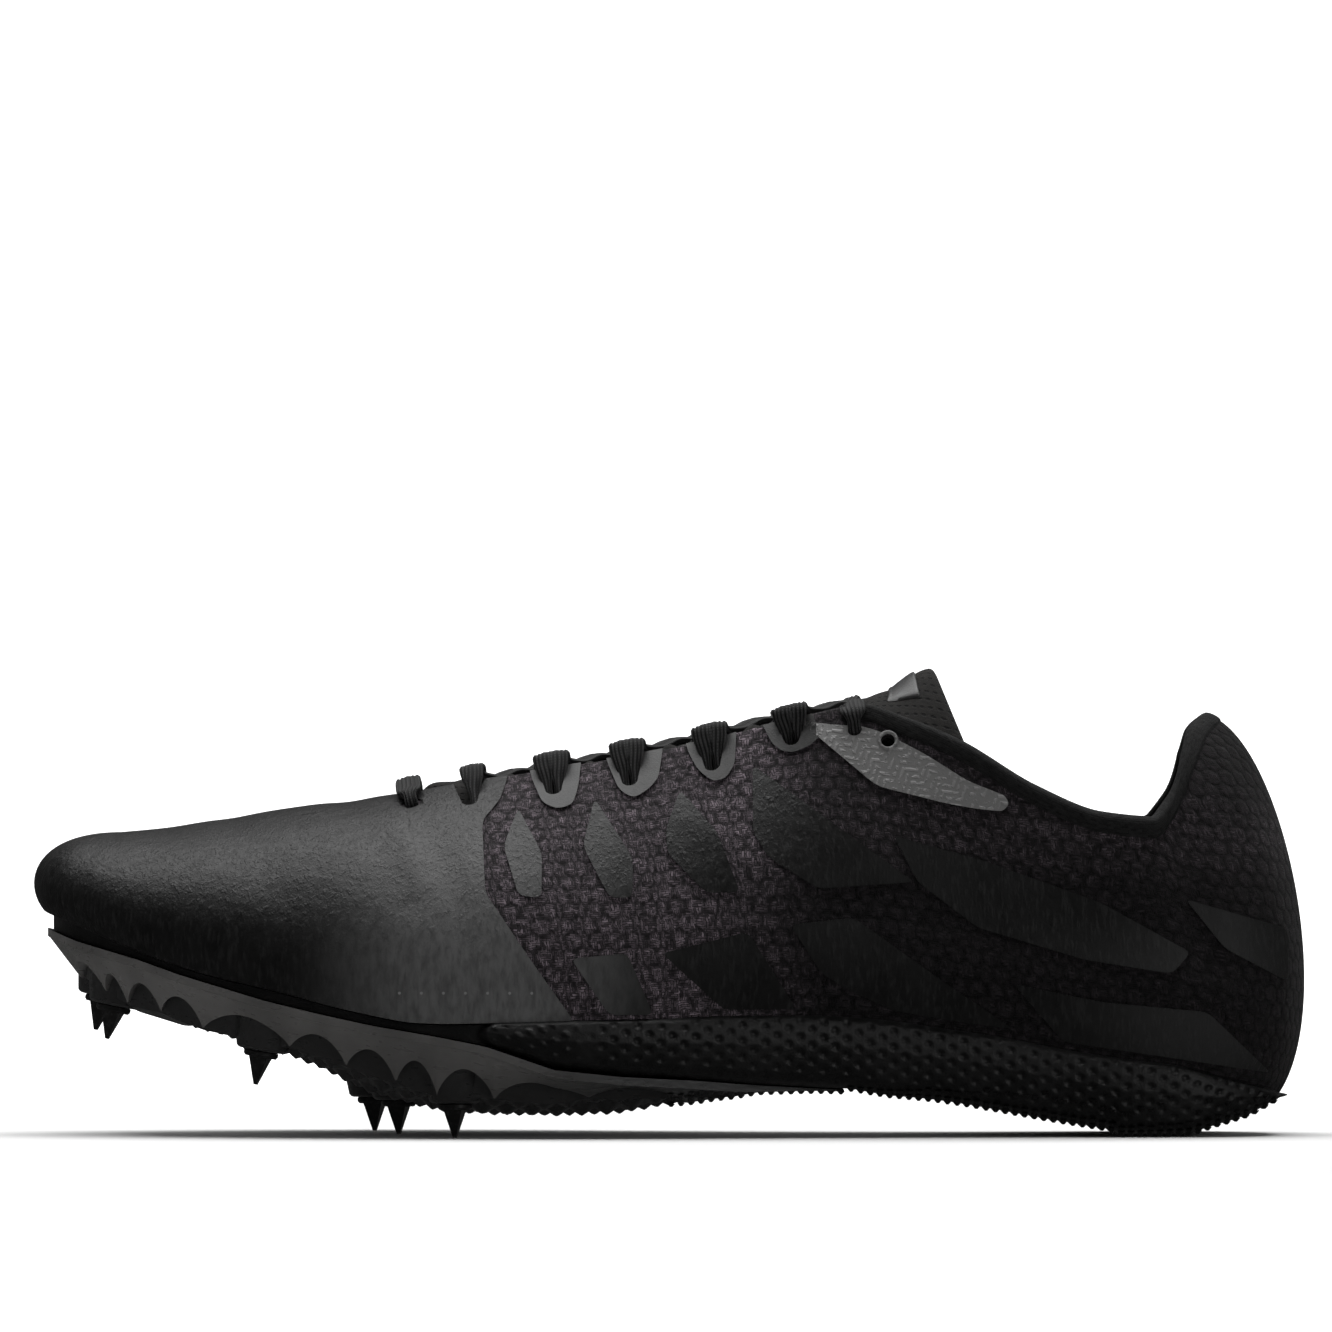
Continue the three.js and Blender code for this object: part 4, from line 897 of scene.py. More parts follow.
def skin_frame(places, shares):
    """Points, heelward or ringward direction, upward direction and outward normal."""
    step = 0.01
    rise = 0.004
    places, shares = np.broadcast_arrays(np.asarray(places, float), np.asarray(shares, float))
    origin = skin(places, shares)
    along = skin(places + step, shares) - skin(places - step, shares)
    upper_share = np.minimum(shares + rise, 1.0)
    up = skin(places, upper_share) - skin(places, upper_share - 2 * rise)
    normal = np.cross(along, up)
    return origin, to_unit(along), to_unit(up), to_unit(normal)


def edge_frame(row, side, share):
    """Place, direction towards the heel, direction down the wall and outward normal."""
    origin, along, up, normal = skin_frame(float(ring_place(row, side)), float(share))
    return origin, along * -side, -up, normal


def hole_tool(row, side, share, width, reach=6 * MM, sides=24):
    """A round bar through the wall where a lace hole is."""
    origin, along, down, normal = edge_frame(row, side, share)
    across = np.cross(down, normal)
    angles = [2 * math.pi * k / sides for k in range(sides)]
    near, far = [[origin + normal * lift + (across * math.cos(a) + down * math.sin(a)) * width / 2
                  for a in angles] for lift in (-reach, reach)]
    return make_bar("hole_tool", near, far)


for side in SIDES.values():
    for row, share in HOLES:
        combine(upper, hole_tool(row, side, share, HOLE_WIDTH), "DIFFERENCE")
    combine(toe_film, hole_tool(HOLES[0][0], side, HOLES[0][1], FRONT_HOLE_WIDTH), "DIFFERENCE")
print("upper with holes:", len(upper.data.polygons), "faces")


def build_stay(tree):
    place = place_in_mm(tree)
    turned = add_node(tree, "ShaderNodeMapping", {"Vector": place})
    turned.inputs["Rotation"].default_value = (0, math.radians(32), 0)
    at = axes(tree, turned.outputs[0])
    column = sum_of(tree, "PINGPONG", at["X"], 2.4)
    slope = plus(tree, at["Z"], product(tree, column, 0.8))
    wave = sum_of(tree, "PINGPONG", slope, 0.9)
    ridge = fade(tree, wave, 0.25, 0.7)
    broken = fade(tree, noise(tree, place, 0.8, 2.0), 0.42, 0.58)
    marks = product(tree, ridge, broken)
    colour = blend_colour(tree, marks, grey(0.092, 0.01), grey(0.125, 0.01))
    grain = product(tree, noise(tree, place, 3.5, 2.0), 0.3)
    return {"colour": colour, "height": plus(tree, marks, grain), "depth": 0.16 * MM}


stay_film = finish_material("light_eyestay_film", build_stay, Roughness=0.5, Specular_IOR_Level=0.4)
stay_shell = shell_piece("stay_shell", -0.2 * MM, 0.65 * MM, roundness=0.2)
for side_name, side in SIDES.items():
    stay = panel_piece(f"eyestay_panel_{side_name}", stay_shell, STAY_PANEL, side, 2.4 * MM)
    for row, share in HOLES[1:]:
        combine(stay, hole_tool(row, side, share, HOLE_WIDTH), "DIFFERENCE")
    dress(mark_sharp(stay, 50), stay_film, [f"eyestay_{side_name}"])

# %% Ring of the empty hole
HOLE_RING_OUT = 0.35 * MM
HOLE_RING_LIFT = 0.62 * MM
HOLE_RING_THICK = 0.42 * MM


def ring_round(row, side, share, steps=44, sides=10):
    """A raised ring round a lace hole, as a closed sweep of small circles."""
    origin, along, down, normal = edge_frame(row, side, share)
    across = np.cross(down, normal)
    turns = np.linspace(0, 2 * math.pi, steps, endpoint=False)[:, None, None]
    small = np.linspace(0, 2 * math.pi, sides, endpoint=False)[None, :, None]
    spoke = across * np.cos(turns) + down * np.sin(turns)
    centre = origin + spoke * (HOLE_WIDTH / 2 + HOLE_RING_OUT) + normal * HOLE_RING_LIFT
    return centre + (spoke * np.cos(small) + normal * np.sin(small)) * HOLE_RING_THICK


for side_name, side in SIDES.items():
    ring = ring_round(HOLES[2][0], side, HOLES[2][1])
    faces = grid_faces(*ring.shape[:2], wrap_rows=True, wrap_columns=True).tolist()
    hole_ring = make_piece(f"hole_ring_{side_name}", ring.reshape(-1, 3), faces)
    dress(hole_ring, stay_film, [])

# %% [markdown]
# ## Light bands round the notches
# Each lace notch but the first is edged with grey film, lighter than the knit, so that the
# laces don't tear it. The bands are cut like the panels. Because the shell already has the
# notches, a band ends exactly at the notch's edge.

# %% Notch bands
NOTCH_BANDS = {
    "second": [(0.391, 0.960), (0.394, 0.859), (0.404, 0.792), (0.416, 0.777), (0.428, 0.788),
               (0.432, 0.828), (0.434, 0.879), (0.436, 0.960)],
    "third": [(0.450, 0.960), (0.454, 0.893), (0.464, 0.823), (0.4755, 0.802), (0.487, 0.823),
              (0.495, 0.850), (0.498, 0.907), (0.500, 0.980)],
    "fourth": [(0.513, 0.990), (0.517, 0.921), (0.526, 0.869), (0.538, 0.842), (0.548, 0.850),
               (0.555, 0.883), (0.556, 0.940), (0.557, 1.000)],
    "fifth": [(0.573, 1.040), (0.577, 0.974), (0.5845, 0.931), (0.592, 0.914), (0.601, 0.911),
              (0.6145, 0.928), (0.622, 0.950), (0.612, 1.040)],
}


def build_band(tree):
    place = place_in_mm(tree)
    cloud = noise(tree, place, 0.5, 4.0, 0.6)
    colour = blend_colour(tree, fade(tree, cloud, 0.35, 0.65), grey(0.007, 0.01), grey(0.012, 0.01))
    return {"colour": colour, "height": noise(tree, place, 2.5, 3.0), "depth": 0.08 * MM}


band_film = finish_material("light_band_film", build_band, Roughness=0.5, Specular_IOR_Level=0.24)
for side_name, side in SIDES.items():
    for band_name, corners in NOTCH_BANDS.items():
        band = panel_piece(f"notch_band_{band_name}_{side_name}", stay_shell, corners, side, 2.0 * MM)
        dress(mark_sharp(band, 50), band_film, [])
bpy.data.objects.remove(stay_shell)

# %% [markdown]
# ## The collar's roll
# A soft knitted binding is rolled over the collar's edge, from the eyestay round the heel
# tab and back. It is one sweep: at each place a section runs up the outside, over the rim
# and down the inside. The line where it ends is a groove in the knit.

# %% Collar roll
ROLL_START = 14.72
ROLL_HEIGHT = 3.3 * MM
ROLL_PROUD = 0.55 * MM
ROLL_INSIDE = 4.6 * MM
ROLL_INSIDE_PROUD = 0.65 * MM
ROLL_ROOT = 0.15 * MM


def collar_sections(count=340):
    """Sections of the roll, each from its lower outer edge over the rim to its inner edge."""
    around = np.linspace(ROLL_START, RING - ROLL_START, count)[:, None]
    speed = down_speed(around)
    wall = wall_at(fold(around), 1.0)
    down = np.linspace(1, 0, 9)[None, :]
    out_origin, _, _, out_normal = skin_frame(around, 1 - down * ROLL_HEIGHT / speed)
    swell = -ROLL_ROOT + (ROLL_PROUD + ROLL_ROOT) * np.sqrt(1 - down ** 4)
    outer = out_origin + out_normal * swell[..., None]
    inner_down = np.linspace(0, 1, 7)[None, :]
    in_origin, _, up, in_normal = skin_frame(around, 1 - inner_down * ROLL_INSIDE / speed)
    inner_swell = wall - ROLL_ROOT + ROLL_INSIDE_PROUD * (1 - inner_down ** 3)
    inner = in_origin - in_normal * inner_swell[..., None]
    top, foot = outer[:, -1:], inner[:, :1]
    middle = (top + foot) / 2
    radius = np.linalg.norm(top - foot, axis=-1, keepdims=True) / 2
    angles = np.linspace(0, math.pi, 10)[1:-1][None, :, None]
    arc = middle + (top - middle) * np.cos(angles) + up[:, :1] * radius * np.sin(angles) * 0.8
    return np.concatenate([outer, arc, inner], 1)


def sweep_faces(sections, start, end_faces):
    """Quads along a sweep of closed loops and its flat ends, with the cloth map of both."""
    count, width = sections.shape[:2]
    faces = grid_faces(count, width, start, wrap_columns=True)
    along = lengths_along(sections[:, width // 4], 0)
    about = lengths_along(np.concatenate([sections, sections[:, :1]], 1), 1)
    i, j = np.divmod(faces[:, 0] - start, width)
    corner_along = np.stack([along[i], along[i + 1], along[i + 1], along[i]], -1)
    corner_about = np.stack([about[i, j], about[i + 1, j], about[i + 1, j + 1], about[i, j + 1]], -1)
    cloth = np.stack([corner_along, corner_about], -1).reshape(-1, 2)
    faces = faces.tolist()
    last = start + (count - 1) * width
    loops = {"first": range(start, start + width), "last": range(last + width - 1, last - 1, -1)}
    for end in end_faces:
        faces.append(tuple(loops[end]))
        cloth = np.concatenate([cloth, np.zeros((width, 2))])
    return faces, cloth


def sweep_piece(name, parts, material, nodes, ends=("first", "last"), shade=None):
    """A piece of one or more closed sweeps. A sweep that runs to a line needs no ends."""
    faces, cloth = [], []
    start = 0
    for sections in parts:
        part_faces, part_cloth = sweep_faces(sections, start, ends)
        faces += part_faces
        cloth.append(part_cloth)
        start += sections.shape[0] * sections.shape[1]
    points = np.concatenate([sections.reshape(-1, 3) for sections in parts])
    piece = make_piece(name, points, faces, np.concatenate(cloth), shade=shade)
    return dress(piece, material, nodes)


def build_roll(tree):
    place = cloth_in_mm(tree)
    values = {"Vector": place, "Scale": 1.0, "Brick Width": 1.3, "Row Height": 0.55,
              "Mortar Size": 0.09, "Mortar Smooth": 0.8, "Bias": 0.0,
              "Color1": grey(0.0035), "Color2": grey(0.009), "Mortar": grey(0.001)}
    braid = add_node(tree, "ShaderNodeTexBrick", values)
    lumps = product(tree, noise(tree, place, 0.7, 3.0), 0.8)
    height = plus(tree, lumps, product(tree, braid.outputs["Fac"], -0.5))
    return {"colour": braid.outputs["Color"], "height": height, "depth": 0.5 * MM}


roll_knit = finish_material("black_binding", build_roll, Roughness=0.8, Sheen_Weight=0.02,
                            Specular_IOR_Level=0.12)
collar_roll = sweep_piece("collar_roll", [collar_sections()], roll_knit, [])
mark_sharp(collar_roll, 70)
print("collar roll faces:", len(collar_roll.data.polygons))

# %% [markdown]
# ## The sole's lines
# The sole is worked out from the same outline as the upper. Its heights are shares of the
# heel height at shares of the length: the plate's rim, and the keel along the middle.

# %% Lines of the sole
SOLE_TABLE = np.array([
    # along, rim, keel
    [0.006, 0.501, 0.420], [0.039, 0.463, 0.355], [0.087, 0.422, 0.292], [0.120, 0.387, 0.262],
    [0.187, 0.327, 0.205], [0.227, 0.298, 0.160], [0.270, 0.270, 0.098], [0.323, 0.243, 0.056],
    [0.361, 0.220, 0.048], [0.414, 0.165, 0.046], [0.467, 0.148, 0.052], [0.520, 0.139, 0.080],
    [0.575, 0.126, 0.103], [0.646, 0.114, 0.100], [0.676, 0.097, 0.097], [0.739, 0.068, 0.068],
    [0.803, 0.033, 0.033], [0.850, 0.010, 0.010], [0.857, -0.002, -0.002], [0.910, -0.002, -0.002],
    [0.929, 0.016, 0.016], [0.960, 0.043, 0.043], [0.985, 0.080, 0.080],
])
PLATE_RIM = 1.8 * MM
PLATE_INSET = 0.5 * MM
MIDSOLE_RECESS = 1.8 * MM
MIDSOLE_FLANGE = 0.9 * MM
HEEL_UNIT_START = 0.358
HEEL_UNIT_BLEND = 0.010
HEEL_UNIT_BULGE = 1.0 * MM
HEEL_UNIT_TREAD = 7 * MM
EDGE_ROUND = 0.6 * MM
outer_rows = np.linspace(0, ROWS, 1200)
outer_foot = foot_point(outer_rows)


def share_of(x):
    """Share of the shoe's length at a place along it."""
    return (x - TOE_X) / LENGTH


def row_at(x):
    """Row of the rib table whose foot is at a place along the shoe."""
    return np.interp(x, outer_foot[:, 0], outer_rows)


def seat_height(x):
    """Height of the sole's upper face."""
    return np.interp(x, outer_foot[:, 0], outer_foot[:, 2]) - SEAT_GAP


def rim_height(x):
    """Height of the plate's rim at a place along the shoe."""
    return np.maximum(0, np.interp(share_of(x), SOLE_TABLE[:, 0], SOLE_TABLE[:, 1])) * HEEL_HEIGHT


def keel_height(x):
    """Height of the keel at a place along the shoe."""
    return np.maximum(0, np.interp(share_of(x), SOLE_TABLE[:, 0], SOLE_TABLE[:, 2])) * HEEL_HEIGHT


def inset_point(places, inset):
    """A point inside the sole's outline, with no height yet."""
    return foot_point(places) + inwards(places) * np.asarray(inset)[..., None]


def even_rows(first, last, count):
    """Rows spaced evenly along the outline, as shares of the rib table."""
    fine = np.linspace(first, last, 800)
    travelled = lengths_along(foot_point(fine), 0)
    return np.interp(np.linspace(0, travelled[-1], count), travelled, fine)


def across_points(lateral, medial, count, lift=0.0):
    """Points between the two sides, without the sides themselves."""
    u = np.linspace(0, 1, count + 2)[1:-1][None, :, None]
    line = lateral[:, None] * (1 - u) + medial[:, None] * u
    line[..., 2] += lift * np.sin(math.pi * u[..., 0])
    return line


# %% [markdown]
# ## Heel unit and midsole
# The foam unit starts behind the ball with a rounded nose and runs to the heel. Its wall is
# covered with staggered round dimples. They are moulded, so they are real form here: the wall
# is a fine grid, pushed in by a lattice of round hollows. Near the nose they stand out as
# pimples. In front of the unit only a thin recessed layer shows as a dark line.

# %% Midsole
DIMPLE_PITCH = 5.3 * MM
DIMPLE_ROW = 1.9 * MM
DIMPLE_RADIUS = 0.98 * MM
DIMPLE_DEPTH = 0.55 * MM
TREAD_LIFT = 0.7 * MM
# where the tread lifts off its lowest line and where hollows turn into pimples, as shares
# of the length; how far the nose is curved, and a pimple's height as a share of a hollow's
TREAD_LIFTS = (0.66, 0.72)
PIMPLES = (0.455, 0.425)
NOSE_CURVE = 0.008
PIMPLE_SHARE = 0.8
WALL_LEVELS = 46
WALL_PART = 0.72
UNDER_SHARE = 0.22


def dimples(along, height):
    """How far a lattice of round hollows goes in, at places along and up the wall."""
    depth = np.zeros(np.broadcast(along, height).shape)
    for shift in (0.0, 0.5):
        u = (along / DIMPLE_PITCH + shift) % 1 - 0.5
        v = (height / (2 * DIMPLE_ROW) + shift) % 1 - 0.5
        away = np.hypot(u * DIMPLE_PITCH, v * 2 * DIMPLE_ROW) / DIMPLE_RADIUS
        depth += np.where(away < 1, 1 - away ** 2, 0.0)
    return depth * DIMPLE_DEPTH


def midsole_side(rows, side):
    """The side wall from its upper edge down and under, for every row."""
    around = ring_place(rows, side)
    foot = foot_point(around)
    travelled = lengths_along(foot, 0)
    down = np.linspace(0, 1, WALL_LEVELS)[None, :]
    nose = HEEL_UNIT_START + NOSE_CURVE * (2 * down - 0.9) ** 2
    share = share_of(foot[:, 0])[:, None]
    unit = smooth(share, nose - HEEL_UNIT_BLEND / 2, nose + HEEL_UNIT_BLEND / 2)
    bulge = np.interp(down, [0, 0.2, 0.38, 0.6, 0.8], [0.0, 0.8, 1.0, 0.35, -0.6])
    inset = MIDSOLE_RECESS + (-MIDSOLE_FLANGE - MIDSOLE_RECESS) * unit
    inset = inset - HEEL_UNIT_BULGE * bulge * unit
    inset = inset + EDGE_ROUND * (1 - smooth(down, 0.0, 0.07)) * unit
    turn = np.clip((down - WALL_PART) / (1 - WALL_PART), 0, 1) * math.pi / 2
    inset = inset + HEEL_UNIT_TREAD * (1 - np.cos(turn)) * unit
    height_share = np.where(down < WALL_PART, 1 - down / WALL_PART * (1 - UNDER_SHARE),
                            UNDER_SHARE * (1 - np.sin(turn)))
    points = foot[:, None] + inwards(around)[:, None] * inset[..., None]
    low = rim_height(points[..., 0])
    low = low + TREAD_LIFT * unit * smooth(share, *TREAD_LIFTS)
    high = seat_height(points[..., 0]) + SEAT_GAP * unit
    points[..., 2] = low + (high - low) * height_share
    wall_height = (foot[:, 2] - rim_height(foot[:, 0]))[:, None]
    climb = (1 - down) * wall_height * 1.15
    hollow = dimples(travelled[:, None], climb)
    pimples = smooth(share, *PIMPLES)
    edge = smooth(down, 0.02, 0.06) * smooth(share, nose + 0.002, nose + 0.006)
    edge = edge * smooth(ROWS - rows, 0.0, 0.08)[:, None]
    push = hollow * edge * (1 - (1 + PIMPLE_SHARE) * pimples)
    points += inwards(around)[:, None] * push[..., None]
    return points


def midsole_loops():
    """Closed loops across the shoe, from the outer wall under the foot to the inner wall."""
    front = even_rows(0, row_at(TOE_X + (HEEL_UNIT_START - 0.012) * LENGTH), 90)
    back = even_rows(front[-1], ROWS, 470)
    rows = np.concatenate([front, back[1:]])
    lateral = midsole_side(rows, -1)
    medial = midsole_side(rows, 1)
    under = across_points(lateral[:, -1], medial[:, -1], 14)
    over = across_points(medial[:, 0], lateral[:, 0], 6)
    return np.concatenate([lateral, under, medial[:, ::-1], over], 1)


def build_foam(tree):
    place = place_in_mm(tree)
    cloud = noise(tree, place, 0.12, 3.0)
    colour = blend_colour(tree, fade(tree, cloud, 0.35, 0.65), grey(0.0025), grey(0.0042))
    pebble = add_node(tree, "ShaderNodeTexVoronoi", {"Vector": place, "Scale": 2.4})
    grain = plus(tree, pebble.outputs["Distance"], noise(tree, place, 6.0, 2.0))
    return {"colour": colour, "roughness": fade(tree, cloud, 0.3, 0.7, 0.38, 0.50),
            "height": grain, "depth": 0.05 * MM}


foam = finish_material("black_moulded_foam", build_foam, Specular_IOR_Level=0.4)
midsole = sweep_piece("heel_unit", [midsole_loops()], foam, ["midsole"], ends=())
mark_sharp(midsole, 55)
print("heel unit faces:", len(midsole.data.polygons))

# %% [markdown]
# ## The spike plate
# A hard moulded plate lies under the forefoot. Its upright rim shows as a line along the
# upper's edge. Below the rim the wall comes down in ridges with hollow arches between, which
# are a short table, as in the part's source. The underside has rows of small pyramids. The
# hollows behind the scalloped apron get painted shade from a map that the mesh carries, and
# the plate is painted darker towards the rear, as shade where it runs under the foam.

# %% Shape of the plate
RIDGE_TABLE = np.array([
    # along, drop below the rim as a share of heel height, inset as a share of ball width
    [0.014, 0.086, 0.090], [0.046, 0.105, 0.075], [0.068, 0.118, 0.075], [0.101, 0.108, 0.080],
    [0.138, 0.115, 0.085], [0.207, 0.098, 0.085], [0.251, 0.112, 0.095], [0.290, 0.130, 0.100],
    [0.322, 0.142, 0.100], [0.367, 0.122, 0.110], [0.441, 0.060, 0.130], [0.512, 0.045, 0.140],
    [0.575, 0.028, 0.140], [0.640, 0.010, 0.120],
])
ARCH_RISE = 0.52
ARCH_HOLLOW = 3.8 * MM
PLATE_END = 0.640
PLATE_TAPER = 0.36
PLATE_THINS = 0.54
PLATE_DRAW = 7 * MM
PLATE_BACK = 0.4 * MM
PLATE_LIFT = 0.8 * MM
PLATE_LEVELS = 41
PLATE_LOW_LEVEL = 31
PLATE_STEP = 0.4 * MM
APRON_STEP = 0.8 * MM
APRON_SHADE = (0.56, 0.48)
KEEL_STEP = 2 * MM


def ridge_at(x):
    """Drop and inset of the plate's wall, and how far into an arch a place along the shoe is."""
    share = share_of(x)
    nodes = RIDGE_TABLE[:, 0]
    drop = np.interp(share, nodes, RIDGE_TABLE[:, 1]) * HEEL_HEIGHT
    inset = np.interp(share, nodes, RIDGE_TABLE[:, 2]) * BALL_WIDTH
    index = np.clip(np.searchsorted(nodes, share) - 1, 0, len(nodes) - 2)
    u = np.clip((share - nodes[index]) / (nodes[index + 1] - nodes[index]), 0, 1)
    arch = np.where(share < nodes[0], 0, np.sin(math.pi * u) ** 0.7)
    return drop, inset, arch


def plate_side(rows, side):
    """The plate's wall from its rim down to the keel, for every row: an upright rim, an apron
    whose lower edge is scalloped, a hollow behind each scallop, and the lower body."""
    around = ring_place(rows, side)
    foot = foot_point(around)
    x = foot[:, 0]
    half = np.linalg.norm(foot - foot_point(RING - around), axis=-1) / 2
    draw = PLATE_INSET + PLATE_DRAW * smooth(share_of(x), PLATE_TAPER, PLATE_END)
    drop, inset, arch = ridge_at(x)
    wall = draw + np.minimum(inset, 0.35 * TOE_ROUND)
    apron = 1 - ARCH_RISE * arch
    keel_in = np.maximum(wall + ARCH_HOLLOW + KEEL_STEP, 0.5 * half)
    # t is 0 at the rim's top; each pair is a stop of t and the inset there
    stops = [0, 0.10, 0.12, 0.45, 0.55, 0.75, 1]
    apron_in = draw + PLATE_STEP + (wall - draw) * apron * 0.8
    body_in = apron_in + ARCH_HOLLOW * (0.15 + 0.85 * arch)
    insets = [draw, draw, draw + PLATE_STEP, apron_in, body_in, body_in + APRON_STEP, keel_in]
    t = np.linspace(0, 1, PLATE_LEVELS)
    shares = np.array([np.interp(t, stops, stop) for stop in np.eye(len(stops))])
    points_in = np.einsum("kt,kr->rt", shares, np.array(insets))
    points = foot[:, None] + inwards(around)[:, None] * points_in[..., None]
    top = rim_height(points[..., 0]) - GAP
    ending = smooth(share_of(points[..., 0]), PLATE_THINS, PLATE_END)
    low_rim = top - PLATE_RIM * (1 - 0.8 * ending)
    lifted_keel = keel_height(points[..., 0]) + PLATE_LIFT * ending
    keel = np.minimum(lifted_keel, low_rim - PLATE_BACK * (1 - ending))
    apron_z = np.maximum(keel, np.minimum(top - (drop * apron)[:, None], low_rim - PLATE_BACK))
    ground = np.maximum(keel, np.minimum(top - drop[:, None], low_rim - PLATE_BACK))
    heights = [top, low_rim, low_rim - 0.1 * MM, apron_z, apron_z + 0.3 * MM, ground, keel]
    points[..., 2] = sum(shares[k][None, :] * heights[k] for k in range(len(stops)))
    return points


STUD_PITCH = 5.6 * MM
STUD_HEIGHT = 1.8 * MM
STUDS_END = 0.52


def studs(points, share_from, share_to):
    """How far the underside lies above its lowest tips: small pyramids in staggered rows."""
    row = np.floor(points[..., 1] / STUD_PITCH)
    u = np.abs((points[..., 0] / STUD_PITCH + 0.5 * (row % 2)) % 1 - 0.5)
    v = np.abs(points[..., 1] / STUD_PITCH - row - 0.5)
    peak = np.clip(1 - 2 * np.maximum(u, v), 0, 1)
    share = share_of(points[..., 0])
    shown = smooth(share, share_from, share_from + 0.02) * smooth(share, share_to, share_to - 0.02)
    return STUD_HEIGHT * (1 - peak) * shown


def add_studs(points, share_from):
    """Raise the underside between its studs, but never into the rim above it."""
    height = points[..., 2]
    ceiling = rim_height(points[..., 0]) - GAP - PLATE_RIM - PLATE_BACK
    raised = np.minimum(height + studs(points, share_from, STUDS_END), ceiling)
    points[..., 2] = np.maximum(height, raised)


def plate_loops():
    """Closed loops across the plate, and how far each of their points is on the apron, out of the
    painted shade behind it.
    """
    rows = even_rows(0, row_at(TOE_X + PLATE_END * LENGTH), 460)
    lateral = plate_side(rows, -1)
    medial = plate_side(rows, 1)
    under = across_points(lateral[:, -1], medial[:, -1], 46)
    over = across_points(medial[:, 0], lateral[:, 0], 4)
    add_studs(under, 0.10)
    add_studs(lateral[:, PLATE_LOW_LEVEL:], 0.12)
    add_studs(medial[:, PLATE_LOW_LEVEL:], 0.12)
    sections = np.concatenate([lateral, under, medial[:, ::-1], over], 1)
    on_apron = smooth(np.linspace(0, 1, PLATE_LEVELS), *APRON_SHADE)
    below, above = np.zeros(under.shape[1]), np.ones(over.shape[1])
    shade = np.concatenate([on_apron, below, on_apron[::-1], above])
    return sections, np.broadcast_to(shade, sections.shape[:2])


def build_plate(tree):
    place = place_in_mm(tree)
    cloud = noise(tree, place, 0.08, 3.0)
    flow = noise(tree, vector_of(tree, "MULTIPLY", place, (0.15, 1.0, 1.0)), 0.9, 4.0)
    colour = blend_colour(tree, fade(tree, cloud, 0.35, 0.65), grey(0.055, 0.03), grey(0.075, 0.03))
    scuffs = fade(tree, noise(tree, place, 1.4, 4.0, 0.7), 0.60, 0.72)
    worn = blend_colour(tree, product(tree, scuffs, 0.3), colour, grey(0.11))
    # painted shade: darker towards the rear, where the plate runs under the foam; worn then holds
    # scuffs and this shade
    worn = blend_colour(tree, fade(tree, axes(tree, place)["X"], -155, -110), worn, grey(0.012))
    # painted shade behind the apron, where the shade map is zero
    shade_map = add_node(tree, "ShaderNodeUVMap", uv_map="shade").outputs[0]
    shade = axes(tree, shade_map)["X"]
    return {"colour": blend_colour(tree, shade, grey(0.014), worn),
            "roughness": fade(tree, flow, 0.3, 0.7, 0.26, 0.42), "height": flow, "depth": 0.05 * MM}


plate_plastic = finish_material("black_plate_plastic", build_plate, Specular_IOR_Level=0.5,
                                Coat_Weight=0.1, Coat_Roughness=0.3)
plate_sections, plate_shade = plate_loops()
plate = sweep_piece("moulded_plate", [plate_sections], plate_plastic, ["spike_plate"],
                    ends=("last",), shade=plate_shade)
print("plate faces:", len(plate.data.polygons))

# %% [markdown]
# ## Bosses and pins
# Seven pins screw into bosses of the plate. Each boss is a round cone, joined to the plate,
# with a round room cut below it for the pin's flange. A pin is a flange with a hexagonal
# nut face and a four sided pyramid whose sides are slightly hollow.

# %% Pins
PIN_LENGTH = 7.4 * MM
PIN_TOUCH = -0.02 * MM
PIN_BASE = 5.2 * MM
PIN_TIP = 1.1 * MM
FLANGE_RADIUS = 3.9 * MM
FLANGE_HEIGHT = 1.5 * MM
PIN_SEAT = (PIN_LENGTH + GAP) / HEEL_HEIGHT
BOSS_RADIUS = 5.4 * MM
BOSS_SPREAD = 2.2 * MM
BOSS_HEIGHT = 9 * MM
PINS = {
    # share of length, share of ball width towards the big toe, seat height, tilt in degrees
    "toe_medial": (0.054, 0.205, 0.325, 12), "toe_lateral": (0.066, -0.050, 0.308, 12),
    "fore_medial": (0.178, 0.350, 0.204, 10), "fore_lateral": (0.184, -0.260, 0.204, 10),
    "ball_medial": (0.269, 0.360, PIN_SEAT, 0), "ball_centre": (0.290, 0.020, PIN_SEAT, 0),
    "ball_lateral": (0.336, -0.350, PIN_SEAT, 0),
}


def pin_matrix(along, across, seat, tilt):
    """The pin's own frame: origin at its seat, tip along -Z."""
    place = Matrix.Translation((TOE_X + along * LENGTH, across * BALL_WIDTH, seat * HEEL_HEIGHT))
    return place @ Matrix.Rotation(math.radians(tilt), 4, "Y")


def stacked_rings(name, rings, sides, matrix, turn=0.0):
    """A closed turned piece through rings of (radius, height), with closed ends."""
    points = []
    for radius, height in rings:
        for k in range(sides):
            angle = 2 * math.pi * k / sides + turn
            x, y = radius * math.cos(angle), radius * math.sin(angle)
            points.append(matrix @ Vector((x, y, height)))
    faces = grid_faces(len(rings), sides, wrap_columns=True).tolist()
    faces += [tuple(range(sides)), tuple(range(len(points) - 1, len(points) - sides - 1, -1))]
    return make_piece(name, points, faces)


PIN_MATRICES = {name: pin_matrix(*numbers) for name, numbers in PINS.items()}
boss_rings = [(BOSS_RADIUS + BOSS_SPREAD, BOSS_HEIGHT), (BOSS_RADIUS + 0.4 * MM, 0.6 * MM),
              (BOSS_RADIUS, 0.2 * MM), (BOSS_RADIUS - 0.4 * MM, 0.0)]
for matrix in PIN_MATRICES.values():
    combine(plate, stacked_rings("boss_tool", boss_rings, 48, matrix), "UNION")
above_rows = even_rows(0, row_at(TOE_X + PLATE_END * LENGTH), 160)


